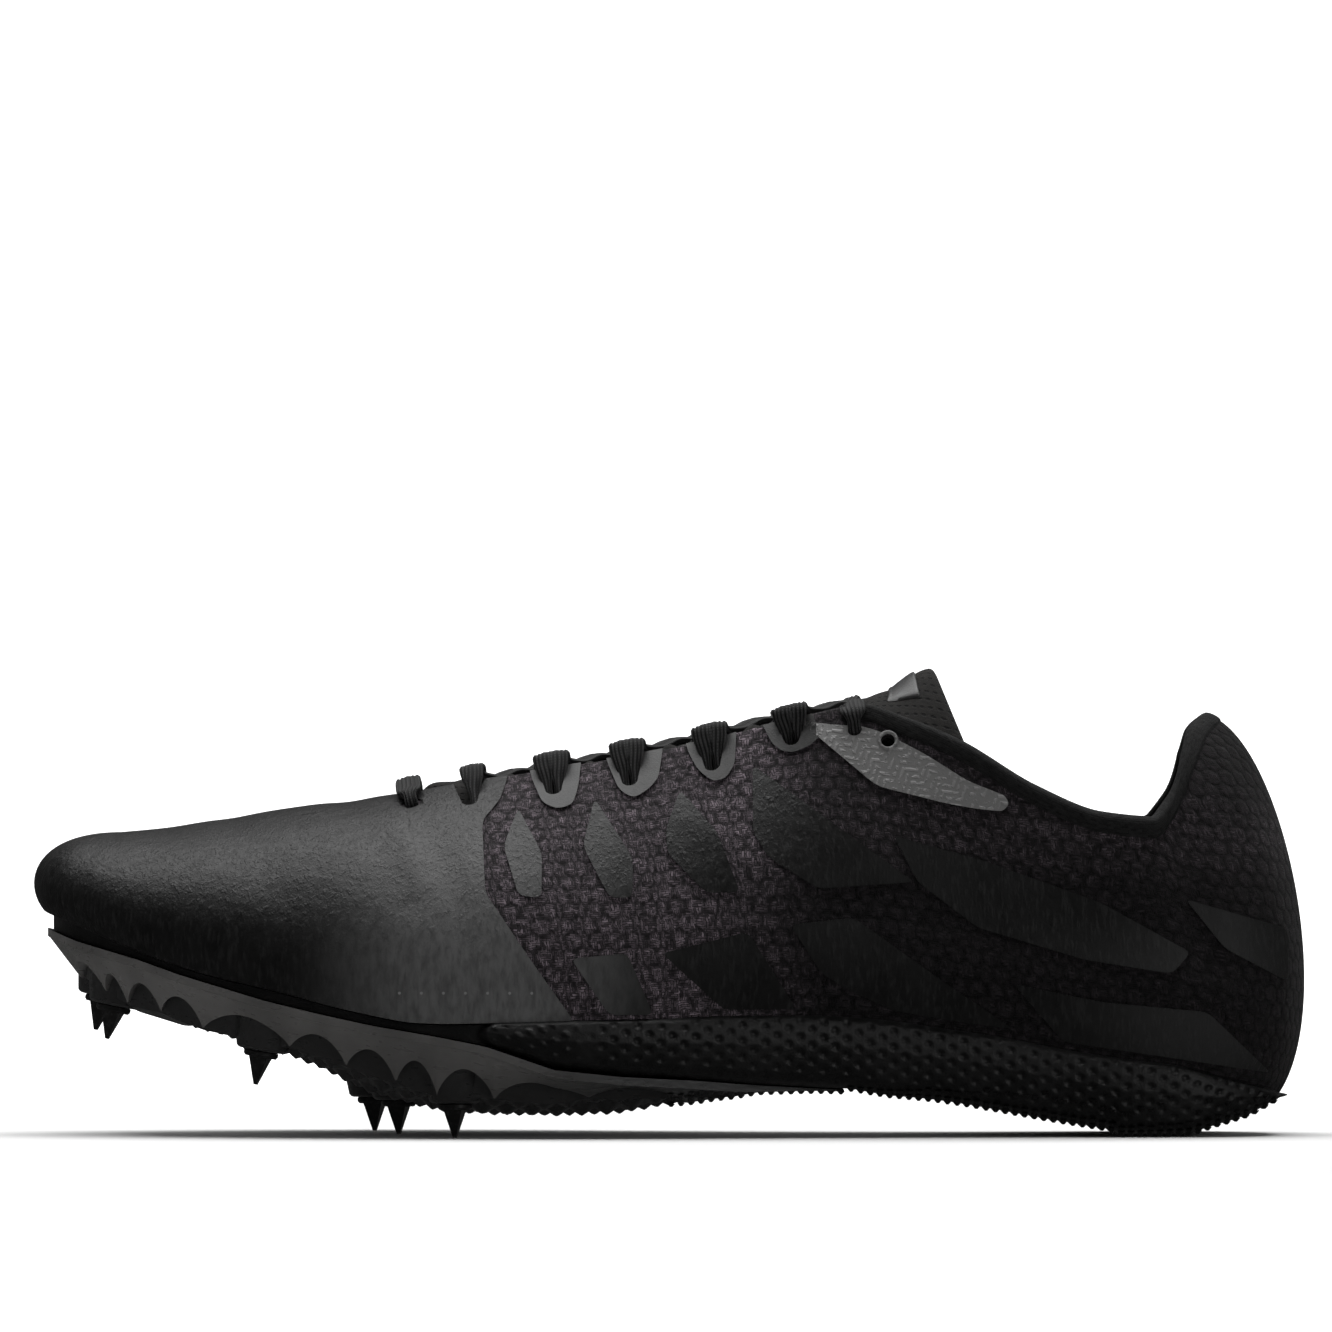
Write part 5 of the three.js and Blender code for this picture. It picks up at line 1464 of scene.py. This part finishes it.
def above_rim_loops():
    """The room over the plate's upper face, which trims the roots of the bosses."""
    sides = []
    for around in (above_rows, RING - above_rows):
        edge = inset_point(around, np.full(len(around), -BOSS_RADIUS))
        high = edge.copy()
        edge[:, 2] = rim_height(edge[:, 0]) - GAP + 0.02 * MM
        high[:, 2] = edge[:, 2] + 2 * BOSS_HEIGHT
        sides.append(np.stack([high, edge], 1))
    return np.concatenate([sides[0], sides[1][:, ::-1]], 1)


above = make_piece("above_tool", above_rim_loops().reshape(-1, 3),
                   grid_faces(len(above_rows), 4, wrap_columns=True).tolist()
                   + [(0, 1, 2, 3), tuple(4 * len(above_rows) - k for k in (1, 2, 3, 4))])
combine(plate, above, "DIFFERENCE")
room_rings = [(FLANGE_RADIUS + 0.7 * MM, 0.0), (FLANGE_RADIUS + 2.6 * MM, -12 * MM)]
for matrix in PIN_MATRICES.values():
    combine(plate, stacked_rings("room_tool", room_rings, 48, matrix), "DIFFERENCE")
mark_sharp(plate, 32)
print("plate with bosses:", len(plate.data.polygons), "faces")


def build_metal(tree):
    place = place_in_mm(tree)
    worn = fade(tree, noise(tree, place, 0.9, 4.0, 0.7), 0.5, 0.68)
    colour = blend_colour(tree, worn, grey(0.012), grey(0.032))
    return {"colour": colour, "roughness": fade(tree, worn, 0.0, 1.0, 0.32, 0.5),
            "height": noise(tree, place, 4.0, 3.0), "depth": 0.03 * MM}


pin_metal = finish_material("black_pin_metal", build_metal, Metallic=0.5)


def build_pin(name, matrix):
    """Flange, nut face and pyramid of one pin, joined into one mesh."""
    flange = [(FLANGE_RADIUS - 0.3 * MM, PIN_TOUCH), (FLANGE_RADIUS, PIN_TOUCH - 0.3 * MM),
              (FLANGE_RADIUS, -1.0 * MM), (FLANGE_RADIUS - 0.4 * MM, -FLANGE_HEIGHT)]
    pin = stacked_rings(name, flange, 40, matrix)
    span = PIN_LENGTH + GAP - FLANGE_HEIGHT
    blade = []
    for u in np.linspace(0, 1, 9):
        width = PIN_TIP / 2 + (PIN_BASE / 2 * 1.2 - PIN_TIP / 2) * (1 - u)
        blade.append((width, -FLANGE_HEIGHT + 0.4 * MM - (span + 0.4 * MM) * u))
    combine(pin, stacked_rings("blade_tool", blade, 4, matrix, math.radians(30)), "UNION")
    return pin


for pin_name, matrix in PIN_MATRICES.items():
    pin = build_pin(f"screw_pin_{pin_name}", matrix)
    dress(mark_sharp(pin, 25), pin_metal, [f"pin_{pin_name}"])

# %% [markdown]
# ## Insole
# A thin cushioned sole lies inside. Its cloth cover shows through the collar. Its edge is
# rounded and rises a little against the wall.

# %% Insole
INSOLE_INSET = WALL + 3 * GAP
# inset and height in mm, from the lower face's edge up to the upper face
INSOLE_EDGE = [(0.9, 0.0), (0.0, 0.6), (0.0, 2.1), (0.5, 2.6), (2.0, 2.35), (5.0, 2.1)]


def insole_loops():
    """Closed loops across the insole."""
    rows = even_rows(0.5, ROWS - 0.5, 150)
    loops = []
    for around in (rows, RING - rows):
        edge = []
        for inset, rise in INSOLE_EDGE:
            line = inset_point(around, np.full(len(around), INSOLE_INSET + inset * MM))
            line[:, 2] = seat_height(line[:, 0]) + GAP + rise * MM
            edge.append(line)
        loops.append(np.stack(edge, 1))
    lateral, medial = loops
    over = across_points(lateral[:, -1], medial[:, -1], 16)
    under = across_points(medial[:, 0], lateral[:, 0], 8)
    return np.concatenate([lateral, over, medial[:, ::-1], under], 1)


def build_insole_cloth(tree):
    place = place_in_mm(tree)
    at = axes(tree, place)
    weave = product(tree, *[sum_of(tree, "SINE", product(tree, at[way], 5.2)) for way in "XY"])
    tone = fade(tree, noise(tree, place, 0.1, 3.0), 0.3, 0.7)
    colour = blend_colour(tree, tone, grey(0.022), grey(0.034))
    return {"colour": colour, "height": weave, "depth": 0.12 * MM}


insole_cloth = finish_material("insole_cloth", build_insole_cloth, Roughness=0.9, Sheen_Weight=0.15,
                               Specular_IOR_Level=0.2)
insole = sweep_piece("cushioned_insole", [insole_loops()], insole_cloth, ["insole"])
mark_sharp(insole, 60)

# %% [markdown]
# ## Tongue
# The tongue is a padded mesh flap. Its flanks lie under the throat's edges, its crown bulges
# up between them, and its thick end stands up over the ankle. It is a pad with four round
# edges. A plain patch is stuck on its upper end.

# %% Tongue
TONGUE_CLEARANCE = 0.7 * MM
TONGUE_FRONT = 2.0 * MM
TONGUE_TOP = 4.6 * MM
TONGUE_END_ROWS = 0.22
TONGUE_EDGE = 0.93
TONGUE_TABLE = np.array([
    # row, flank, back, rise, pad
    [8.5, 0.84, 0, -0.030, 0], [9.0, 0.80, 0, -0.012, 0], [9.5, 0.78, 0, 0.004, 0],
    [10.0, 0.77, 0, 0.014, 0], [11.0, 0.76, 0, 0.020, 0], [12.0, 0.76, 0, 0.024, 0.1],
    [13.0, 0.76, 0, 0.028, 0.3], [14.0, 0.77, 0, 0.028, 0.5], [15.0, 0.78, 0.008, 0.022, 0.8],
    [15.6, 0.80, 0.006, 0.062, 1], [16.1, 0.82, -0.004, 0.110, 1], [16.6, 0.84, -0.013, 0.160, 1],
    [17.1, 0.86, -0.026, 0.202, 0.6],
])
EDGE_SHARE = 0.985


def tongue_value(column, rows):
    """One column of the tongue's table at rows between its own."""
    return np.interp(rows, TONGUE_TABLE[:, 0], TONGUE_TABLE[:, column])


def tongue_flank(rows, side, shares):
    """Outside of the tongue under the throat's edge on one side, with its normal."""
    origin, _, _, normal = skin_frame(ring_place(rows, side), shares)
    depth = wall_at(rows, shares) + TONGUE_CLEARANCE
    return origin - normal * depth[..., None], normal


def tongue_crown(rows, across):
    """Outside of the tongue between the throat's edges; across runs from -1 to 1."""
    rows, across = np.broadcast_arrays(np.asarray(rows, float), np.asarray(across, float))
    share = np.full(rows.shape, EDGE_SHARE)
    lateral, lateral_normal = tongue_flank(rows, -1, share)
    medial, medial_normal = tongue_flank(rows, 1, share)
    middle = np.stack([ring_value("top_x", rows) + tongue_value(2, rows) * LENGTH,
                       (lateral[..., 1] + medial[..., 1]) / 2,
                       ring_value("top_z", rows) + tongue_value(3, rows) * HEEL_HEIGHT], -1)
    outer = (across < 0)[..., None]
    edge = np.where(outer, lateral, medial)
    edge_normal = np.where(outer, lateral_normal, medial_normal)
    bend = (across ** 2)[..., None]
    point = middle + (edge - middle) * np.concatenate([bend, np.abs(across)[..., None], bend], -1)
    normal = np.array([-0.2, 0, 1.0]) * (1 - bend) + edge_normal * bend
    return point, to_unit(normal)


def tongue_sheet(rows, flank_steps=10, crown_steps=44):
    """Points and normals of the tongue's outside, from one flank over the crown."""
    low = tongue_value(1, rows)[:, None]
    climb = low + (EDGE_SHARE - low) * np.linspace(0, 1, flank_steps)[None, :]
    spread = np.linspace(-1, 1, crown_steps + 2)[1:-1][None, :]
    wide_rows = np.broadcast_to(rows[:, None], climb.shape)
    lateral, lateral_normal = tongue_flank(wide_rows, -1, climb)
    medial, medial_normal = tongue_flank(wide_rows, 1, climb)
    crown, crown_normal = tongue_crown(rows[:, None], spread)
    points = np.concatenate([lateral, crown, medial[:, ::-1]], 1)
    normals = np.concatenate([lateral_normal, crown_normal, medial_normal[:, ::-1]], 1)
    return points, normals


# %% [markdown]
# ## Laces
# One flat black lace runs through everything. It comes out of the front hole, crosses over
# to the other front hole, and from there each side zigzags up: out of a notch, over the
# tongue and down into the next notch of the other side. The last strands go into the top
# holes. A lace is braided with ribs along it, so its section has small waves.

# %% Lace routes
LACE_WIDTH = 5.6 * MM
LACE_THICKNESS = 1.7 * MM
LACE_RIBS = 5
LACE_STEPS = 110
LACE_SQUARENESS = 0.62
RIB_HEIGHT = 0.24
PINCH = 0.45
SPLIT = 1.3 * MM
LACE_LIFT = 0.3 * MM
LACE_EDGE_LIFT = 3.1 * MM
LACE_DROPS = {-1: -1.3 * MM, 1: -3.0 * MM}


def smooth_path(points, count):
    """A smooth curve through given points, with even steps."""
    points = np.asarray(points)
    ends = np.concatenate([[2 * points[0] - points[1]], points, [2 * points[-1] - points[-2]]])
    fine = []
    for k in range(len(points) - 1):
        p0, p1, p2, p3 = ends[k:k + 4]
        for u in np.linspace(0, 1, 24, endpoint=False):
            fine.append(0.5 * (2 * p1 + (p2 - p0) * u + (2 * p0 - 5 * p1 + 4 * p2 - p3) * u * u
                               + (3 * p1 - p0 - 3 * p2 + p3) * u ** 3))
    fine.append(points[-1])
    fine = np.array(fine)
    travelled = lengths_along(fine[:, :3], 0)
    even = np.linspace(0, travelled[-1], count)
    return np.stack([np.interp(even, travelled, column) for column in fine.T], 1)


def lace_band(path):
    """A flat ribbed band along a path of places, facing directions and width shares."""
    points, facing, widths = path[:, :3], path[:, 3:6], path[:, 6][:, None, None]
    tangent = to_unit(np.gradient(points, axis=0))
    flat = to_unit(np.cross(tangent, facing))
    up = np.cross(flat, tangent)
    angles = np.linspace(0, 2 * math.pi, 44, endpoint=False)
    across, lift = [np.sign(wave) * np.abs(wave) ** LACE_SQUARENESS
                    for wave in (np.cos(angles), np.sin(angles))]
    ribs = 1 + RIB_HEIGHT * np.cos(across * math.pi * LACE_RIBS) * (np.abs(across) < 0.92)
    side = (across * LACE_WIDTH / 2)[None, :, None] * widths
    height = (lift * ribs * LACE_THICKNESS / 2)[None, :, None] * (1.4 - 0.4 * widths)
    return points[:, None] + flat[:, None] * side + up[:, None] * height


def over_tongue(row_from, row_to, side, high, reach=0.78):
    """Points of a strand between the throat's edges, from one side to the other."""
    found = []
    for across in (-reach, -0.5 * reach, 0.0, 0.5 * reach, reach):
        row = row_from + (row_to - row_from) * (across + 1) / 2
        point, up = tongue_crown(row, across * -side)
        over_edge = LACE_EDGE_LIFT * smooth(abs(across), 0.45, reach)
        lift = LACE_LIFT + over_edge + high * (1 - across ** 4)
        found.append((*(point + up * lift), *up, 1.0))
    return found


# depth below the edge and lift over the wall in mm, and share of the lace's width
NOTCH_POINTS = [(-1.1, 3.0, 1.0), (2.0, 1.9, 0.85), (5.6, -0.5, PINCH), (9.0, -2.3, PINCH),
                (12.0, -2.7, 0.7)]
# depth below the hole's middle and lift over the wall in mm, lean, and share of the width
HOLE_POINTS = [(-4.0, 1.9, 0.0, 1.0), (-1.8, 1.6, 0.3, 0.55), (-0.2, 0.1, 1.2, 0.55),
               (0.0, -3.0, 4.0, 0.55)]


def into_notch(row, side, shift):
    """Points of a strand that goes over the edge and down into a notch."""
    origin, heelward, down, normal = edge_frame(row, side, 1.0)
    shorter = np.interp(row, NOTCH_ROWS, NOTCH_DEPTHS / NOTCH_DEPTHS[0])
    found = []
    for depth, lift, width in NOTCH_POINTS:
        depth = depth * shorter
        point = origin + down * depth * MM + normal * lift * MM + heelward * shift
        found.append((*point, *normal, width))
    return found


def into_hole(row, side, share):
    """Points of a strand that lies on the wall and turns down into a hole."""
    origin, heelward, down, normal = edge_frame(row, side, share)
    found = []
    for depth, lift, lean, width in HOLE_POINTS:
        point = origin + down * depth * MM + normal * lift * MM
        found.append((*point, *to_unit(normal + down * lean), width))
    return found


def crossing(row_from, row_to, side, high):
    """One strand from a notch over the tongue to the next notch of the other side."""
    return [*into_notch(row_from, side, SPLIT)[::-1], *over_tongue(row_from, row_to, side, high),
            *into_notch(row_to, -side, -SPLIT)]


first_row, first_share = HOLES[0]
top_row, top_share_of_hole = HOLES[1]
strands = [[*into_hole(first_row, -1, first_share)[::-1],
            *over_tongue(first_row, first_row, -1, 0.9 * MM, 0.5),
            *into_hole(first_row, 1, first_share)]]
for side in SIDES.values():
    high = LACE_DROPS[side]
    for row_from, row_to in zip(NOTCH_ROWS[:-1], NOTCH_ROWS[1:]):
        strands.append(crossing(row_from, row_to, side, high))
    strands.append([*into_notch(NOTCH_ROWS[-1], side, SPLIT)[::-1],
                    *over_tongue(NOTCH_ROWS[-1], top_row, side, high),
                    *into_hole(top_row, -side, top_share_of_hole)])


def build_lace(tree):
    place = cloth_in_mm(tree)
    at = axes(tree, place)
    rib = fade(tree, sum_of(tree, "PINGPONG", at["Y"], 0.5), 0.06, 0.42)
    stitch = sum_of(tree, "PINGPONG", plus(tree, at["X"], rib), 0.35)
    yarn = product(tree, rib, fade(tree, stitch, 0.0, 0.22, 0.55, 1.0))
    colour = blend_colour(tree, yarn, grey(0.0012), grey(0.030))
    return {"colour": colour, "height": yarn, "depth": 0.40 * MM}


lace_cord = finish_material("black_flat_lace", build_lace, Roughness=0.7, Sheen_Weight=0.03,
                            Specular_IOR_Level=0.18)
lace_paths = [smooth_path(strand, LACE_STEPS) for strand in strands]
bands = [lace_band(path) for path in lace_paths]
laces = sweep_piece("laced_cord", bands, lace_cord, ["laces"])
mark_sharp(laces, 75)
print("lace strands:", len(bands), "faces:", len(laces.data.polygons))

# %% [markdown]
# ## The pad under the laces
# The laces press into the soft tongue, so the pad is made after them: every point of its
# outside that would reach into a lace is pushed down, with a soft slope beside it.

# %% Padded tongue
LACE_POINTS = np.concatenate(lace_paths)[:, :3]
PRESS_GAP = 0.25 * MM
PRESS_LIMIT = 4.6 * MM
PRESS_REACH = 6 * MM
TONGUE_SWELL = 2.2 * MM
SWELL_PLACE = 0.45
SWELL_REACH = 0.30


def pressed_in(points, normals):
    """How far the laces push each point of the tongue down."""
    depth = np.zeros(points.shape[:2])
    for row in range(len(points)):
        away = LACE_POINTS[None, :, :] - points[row][:, None, :]
        above = np.einsum("pqc,pc->pq", away, normals[row])
        beside = np.sqrt(np.maximum(0, (away ** 2).sum(-1) - above ** 2))
        reach = 1 - smooth(beside, LACE_WIDTH * 0.45, LACE_WIDTH * 0.95)
        wanted = np.clip(LACE_THICKNESS / 2 + PRESS_GAP - above, 0, PRESS_LIMIT)
        wanted = np.where(np.abs(above) < PRESS_REACH, wanted, 0)
        depth[row] = (wanted * reach).max(1)
    return depth


def tongue_loops():
    """Closed loops across the pad. It swells beside the laces and is pressed in below them."""
    rows = np.linspace(TONGUE_TABLE[0, 0], TONGUE_TABLE[-1, 0], 160)
    points, normals = tongue_sheet(rows)
    across = np.linspace(-1, 1, points.shape[1])[None, :]
    laced = smooth(rows, 9.0, 9.4) * smooth(rows, 14.9, 14.6)
    beside = np.clip(1 - ((np.abs(across) - SWELL_PLACE) / SWELL_REACH) ** 2, 0, 1)
    swell = (laced * np.sin(math.pi * rows) ** 2)[:, None] * beside
    points += normals * (TONGUE_SWELL * swell)[..., None]
    points -= normals * pressed_in(points, normals)[..., None]
    for _ in range(4):
        points[1:-1, 1:-1] = (points[1:-1, 1:-1] * 2 + points[:-2, 1:-1] + points[2:, 1:-1]
                              + points[1:-1, :-2] + points[1:-1, 2:]) / 6
    full = TONGUE_FRONT + (TONGUE_TOP - TONGUE_FRONT) * tongue_value(4, rows)[:, None]
    end = np.clip((rows[-1] - rows) / TONGUE_END_ROWS, 0, 1)[:, None]
    round_end = np.sqrt(1 - (1 - end) ** 2)
    past_edge = (np.abs(across) - TONGUE_EDGE).clip(0) / (1 - TONGUE_EDGE)
    round_side = np.sqrt(np.clip(1 - past_edge ** 2, 0, 1))
    thick = full * np.maximum(0.12, round_end * np.maximum(0.2, round_side))
    middle = points - normals * full[..., None] / 2
    outer = middle + normals * thick[..., None] / 2
    inner = middle - normals * thick[..., None] / 2
    return np.concatenate([outer, inner[:, ::-1]], 1)


def build_tongue_mesh(tree):
    place = cloth_in_mm(tree)
    wobble = add_node(tree, "ShaderNodeTexNoise", {"Vector": place, "Scale": 0.5})
    drift = vector_of(tree, "MULTIPLY", wobble.outputs["Color"], (0.6, 0.6, 0))
    bent = vector_of(tree, "ADD", place, drift)
    away = hexagon_distance(tree, bent, 1.5)
    hole = fade(tree, away, 0.28, 0.5, 1.0, 0.0)
    values = {"Vector": bent, "Scale": 1.0, "Brick Width": 0.9, "Row Height": 0.4,
              "Mortar Size": 0.06, "Mortar Smooth": 0.7, "Color1": grey(0.008, 0.06),
              "Color2": grey(0.016, 0.09), "Mortar": grey(0.002)}
    yarn = add_node(tree, "ShaderNodeTexBrick", values)
    colour = blend_colour(tree, hole, yarn.outputs["Color"], grey(0.0015))
    height = plus(tree, product(tree, yarn.outputs["Fac"], -0.4), product(tree, hole, -0.9))
    return {"colour": colour, "height": height, "depth": 0.35 * MM}


tongue_mesh = finish_material("tongue_mesh", build_tongue_mesh, Roughness=0.85, Sheen_Weight=0.03,
                              Specular_IOR_Level=0.12)
tongue = sweep_piece("padded_tongue", [tongue_loops()], tongue_mesh, ["tongue"])
mark_sharp(tongue, 70)

# %% Blank patch
PATCH_ROW = 15.95
PATCH_HALF_ROWS = 0.46
PATCH_HALF_WIDTH = 0.60
PATCH_EDGE = 0.15 * MM
PATCH_PROUD = 0.55 * MM
PATCH_ROOT = 0.8 * MM


def patch_sections():
    """The blank patch as a thin plate that follows the crown, with a rounded edge."""
    u = np.linspace(-1, 1, 36)
    rows = PATCH_ROW + PATCH_HALF_ROWS * u
    point, normal = tongue_crown(rows[:, None], PATCH_HALF_WIDTH * u[None, :])
    inside = np.sqrt(1 - np.maximum(np.abs(u)[:, None] ** 10, np.abs(u)[None, :] ** 10))
    outer = point + normal * (PATCH_EDGE + PATCH_PROUD * inside)[..., None]
    inner = point - normal * PATCH_ROOT
    return np.concatenate([outer, inner[:, ::-1]], 1)


def build_patch(tree):
    place = place_in_mm(tree)
    weave = noise(tree, vector_of(tree, "MULTIPLY", place, (1.0, 6.0, 1.0)), 1.2, 3.0)
    colour = blend_colour(tree, fade(tree, weave, 0.3, 0.7), grey(0.016), grey(0.026))
    return {"colour": colour, "roughness": fade(tree, weave, 0.3, 0.7, 0.34, 0.48),
            "height": weave, "depth": 0.08 * MM}


patch_satin = finish_material("plain_satin_patch", build_patch, Specular_IOR_Level=0.3)
patch = sweep_piece("blank_tongue_patch", [patch_sections()], patch_satin, [])
mark_sharp(patch, 60)

# %% [markdown]
# ## Nubs of the tread
# Behind the ball the plate's arch and the foam's tread are covered with small pointed nubs.
# They are all alike and stand on a square lattice, so a Geometry Nodes tree places them: it
# makes a flat grid of points, drops those with nothing above them, sends the others up to
# the tread, and stands a small cone there.

# %% Tread nubs
NUB_PITCH = 2.1 * MM
NUB_HEIGHT = 0.68 * MM
NUB_RADIUS = 0.90 * MM
NUB_TIP = 0.3 * MM
NUB_SPREAD = 62 * MM
NUB_START = -30 * MM


def nub_tree():
    """Grid of points sent up to the tread, with a cone on each that hits it."""
    tree = bpy.data.node_groups.new("tread_nubs", "GeometryNodeTree")
    face = tree.interface
    face.new_socket("Geometry", in_out="INPUT", socket_type="NodeSocketGeometry")
    for name in ("Length", "Width", "Pitch", "Height", "Radius"):
        face.new_socket(name, in_out="INPUT", socket_type="NodeSocketFloat")
    face.new_socket("Middle", in_out="INPUT", socket_type="NodeSocketVector")
    face.new_socket("Material", in_out="INPUT", socket_type="NodeSocketMaterial")
    face.new_socket("Geometry", in_out="OUTPUT", socket_type="NodeSocketGeometry")
    given = add_node(tree, "NodeGroupInput").outputs

    def count_of(size):
        return sum_of(tree, "ROUND", sum_of(tree, "DIVIDE", given[size], given["Pitch"]))

    grid = add_node(tree, "GeometryNodeMeshGrid", {"Size X": given["Length"], "Size Y": given["Width"],
                                                   "Vertices X": count_of("Length"),
                                                   "Vertices Y": count_of("Width")})
    moved = add_node(tree, "GeometryNodeTransform", {"Geometry": grid.outputs["Mesh"],
                                                     "Translation": given["Middle"]})
    points = add_node(tree, "GeometryNodeMeshToPoints", {"Mesh": moved.outputs[0]})
    ray = add_node(tree, "GeometryNodeRaycast", {"Target Geometry": given["Geometry"],
                                                 "Ray Direction": (0, 0, 1), "Ray Length": 0.1})
    missed = add_node(tree, "FunctionNodeBooleanMath", {0: ray.outputs["Is Hit"]}, operation="NOT")
    kept = add_node(tree, "GeometryNodeDeleteGeometry", {"Geometry": points.outputs[0],
                                                         "Selection": missed.outputs[0]})
    kept.domain = "POINT"
    placed = add_node(tree, "GeometryNodeSetPosition", {"Geometry": kept.outputs[0],
                                                        "Position": ray.outputs["Hit Position"]})
    cone = add_node(tree, "GeometryNodeMeshCone", {"Vertices": 7, "Radius Top": NUB_TIP,
                                                   "Radius Bottom": given["Radius"],
                                                   "Depth": given["Height"]})
    standing = add_node(tree, "GeometryNodeInstanceOnPoints", {"Points": placed.outputs[0],
                                                               "Instance": cone.outputs["Mesh"],
                                                               "Rotation": (math.pi, 0, 0)})
    real = add_node(tree, "GeometryNodeRealizeInstances", {"Geometry": standing.outputs[0]})
    coloured = add_node(tree, "GeometryNodeSetMaterial", {"Geometry": real.outputs[0],
                                                          "Material": given["Material"]})
    add_node(tree, "NodeGroupOutput", {"Geometry": coloured.outputs[0]})
    return tree


def socket_names(tree):
    """The identifier of each named input of a tree."""
    items = tree.interface.items_tree
    return {item.name: item.identifier for item in items if item.in_out == "INPUT"}


def grown(source, name, tree, **values):
    """A new piece that a tree grows on a copy of another piece."""
    piece = copy_of(source, name)
    modifier = piece.modifiers.new("grown", "NODES")
    modifier.node_group = tree
    names = socket_names(tree)
    for key, value in values.items():
        modifier[names[key]] = value
    return apply_modifiers(piece)


NUB_AREAS = [
    # piece, name, start and end as shares of the length, material, slot
    (plate, "arch_nubs_piece", 0.505, 0.638, plate_plastic, "plate_plastic"),
    (midsole, "tread_nubs_piece", 0.646, 0.979, foam, "foam"),
]
nub_grower = nub_tree()
for source, name, start, end, material, slot in NUB_AREAS:
    nub_from, nub_to = TOE_X + start * LENGTH, TOE_X + end * LENGTH
    nubs = grown(source, name, nub_grower, Length=nub_to - nub_from, Width=NUB_SPREAD,
                 Pitch=NUB_PITCH, Height=NUB_HEIGHT, Radius=NUB_RADIUS,
                 Middle=((nub_from + nub_to) / 2, 0.0, NUB_START), Material=material)
    dress(nubs, material, [])
    print(name, len(nubs.data.polygons), "faces, lowest",
          round(min((v.co.z for v in nubs.data.vertices), default=0) / MM, 2))

# %% [markdown]
# ## Floor and light
# The shoe stands on a plain white studio floor that rises into a backdrop far behind it.
# The light is soft and comes from all round, with one large lamp above and one in front.

# %% Stage
def build_floor(tree):
    """White near the shoe by lamp light, and white by its own light far behind it."""
    place = add_node(tree, "ShaderNodeTexCoord").outputs["Object"]
    far = fade(tree, vector_of(tree, "LENGTH", place), 0.30, 0.90)
    shader = tree.nodes["Principled BSDF"]
    tree.links.new(product(tree, far, 1.1), shader.inputs["Emission Strength"])
    return {"colour": blend_colour(tree, noise(tree, place, 3.0), grey(0.62), grey(0.63))}


FLOOR_BACK = 2.2
FLOOR_FRONT = -4.5
FLOOR_HALF = 4.0
floor_outline = [(FLOOR_FRONT, 0.0), (FLOOR_BACK, 0.0)]
floor_outline += [(FLOOR_BACK + math.sin(a), 1 - math.cos(a))
                  for a in np.linspace(0.1, math.pi / 2, 12)]
floor_outline += [(FLOOR_BACK + 1, 4.0)]
floor_points = [(x, y, z) for y, z in floor_outline for x in (-FLOOR_HALF, FLOOR_HALF)]
floor_faces = grid_faces(len(floor_outline), 2).tolist()
floor = make_piece("studio_floor", floor_points, floor_faces, weld=False)
floor.data.materials.append(finish_material("white_floor", build_floor, Roughness=0.9,
                                            Specular_IOR_Level=0.0, Emission_Color=(1, 1, 1, 1)))
floor.visible_glossy = False


def soft_lamp(name, place, target, size, power):
    """A square area lamp that faces a target."""
    lamp = bpy.data.objects.new(name, bpy.data.lights.new(name, "AREA"))
    lamp.data.shape = "RECTANGLE"
    lamp.data.size = size[0]
    lamp.data.size_y = size[1]
    lamp.data.energy = power
    lamp.location = place
    lamp.rotation_euler = (Vector(target) - Vector(place)).to_track_quat("-Z", "Y").to_euler()
    bpy.context.scene.collection.objects.link(lamp)
    return lamp


soft_lamp("lamp_above", (-0.15, 0.35, 1.7), (-0.11, 0, 0.03), (2.0, 1.4), 62)
soft_lamp("lamp_right", (1.5, -2.0, 0.7), (-0.05, 0, 0.04), (0.9, 0.9), 9)
world = bpy.data.worlds.new("studio")
world.use_nodes = True
world.node_tree.nodes["Background"].inputs["Color"].default_value = (1, 1, 1, 1)
world.node_tree.nodes["Background"].inputs["Strength"].default_value = 0.05
bpy.context.scene.world = world
bpy.context.scene.view_settings.view_transform = "Standard"
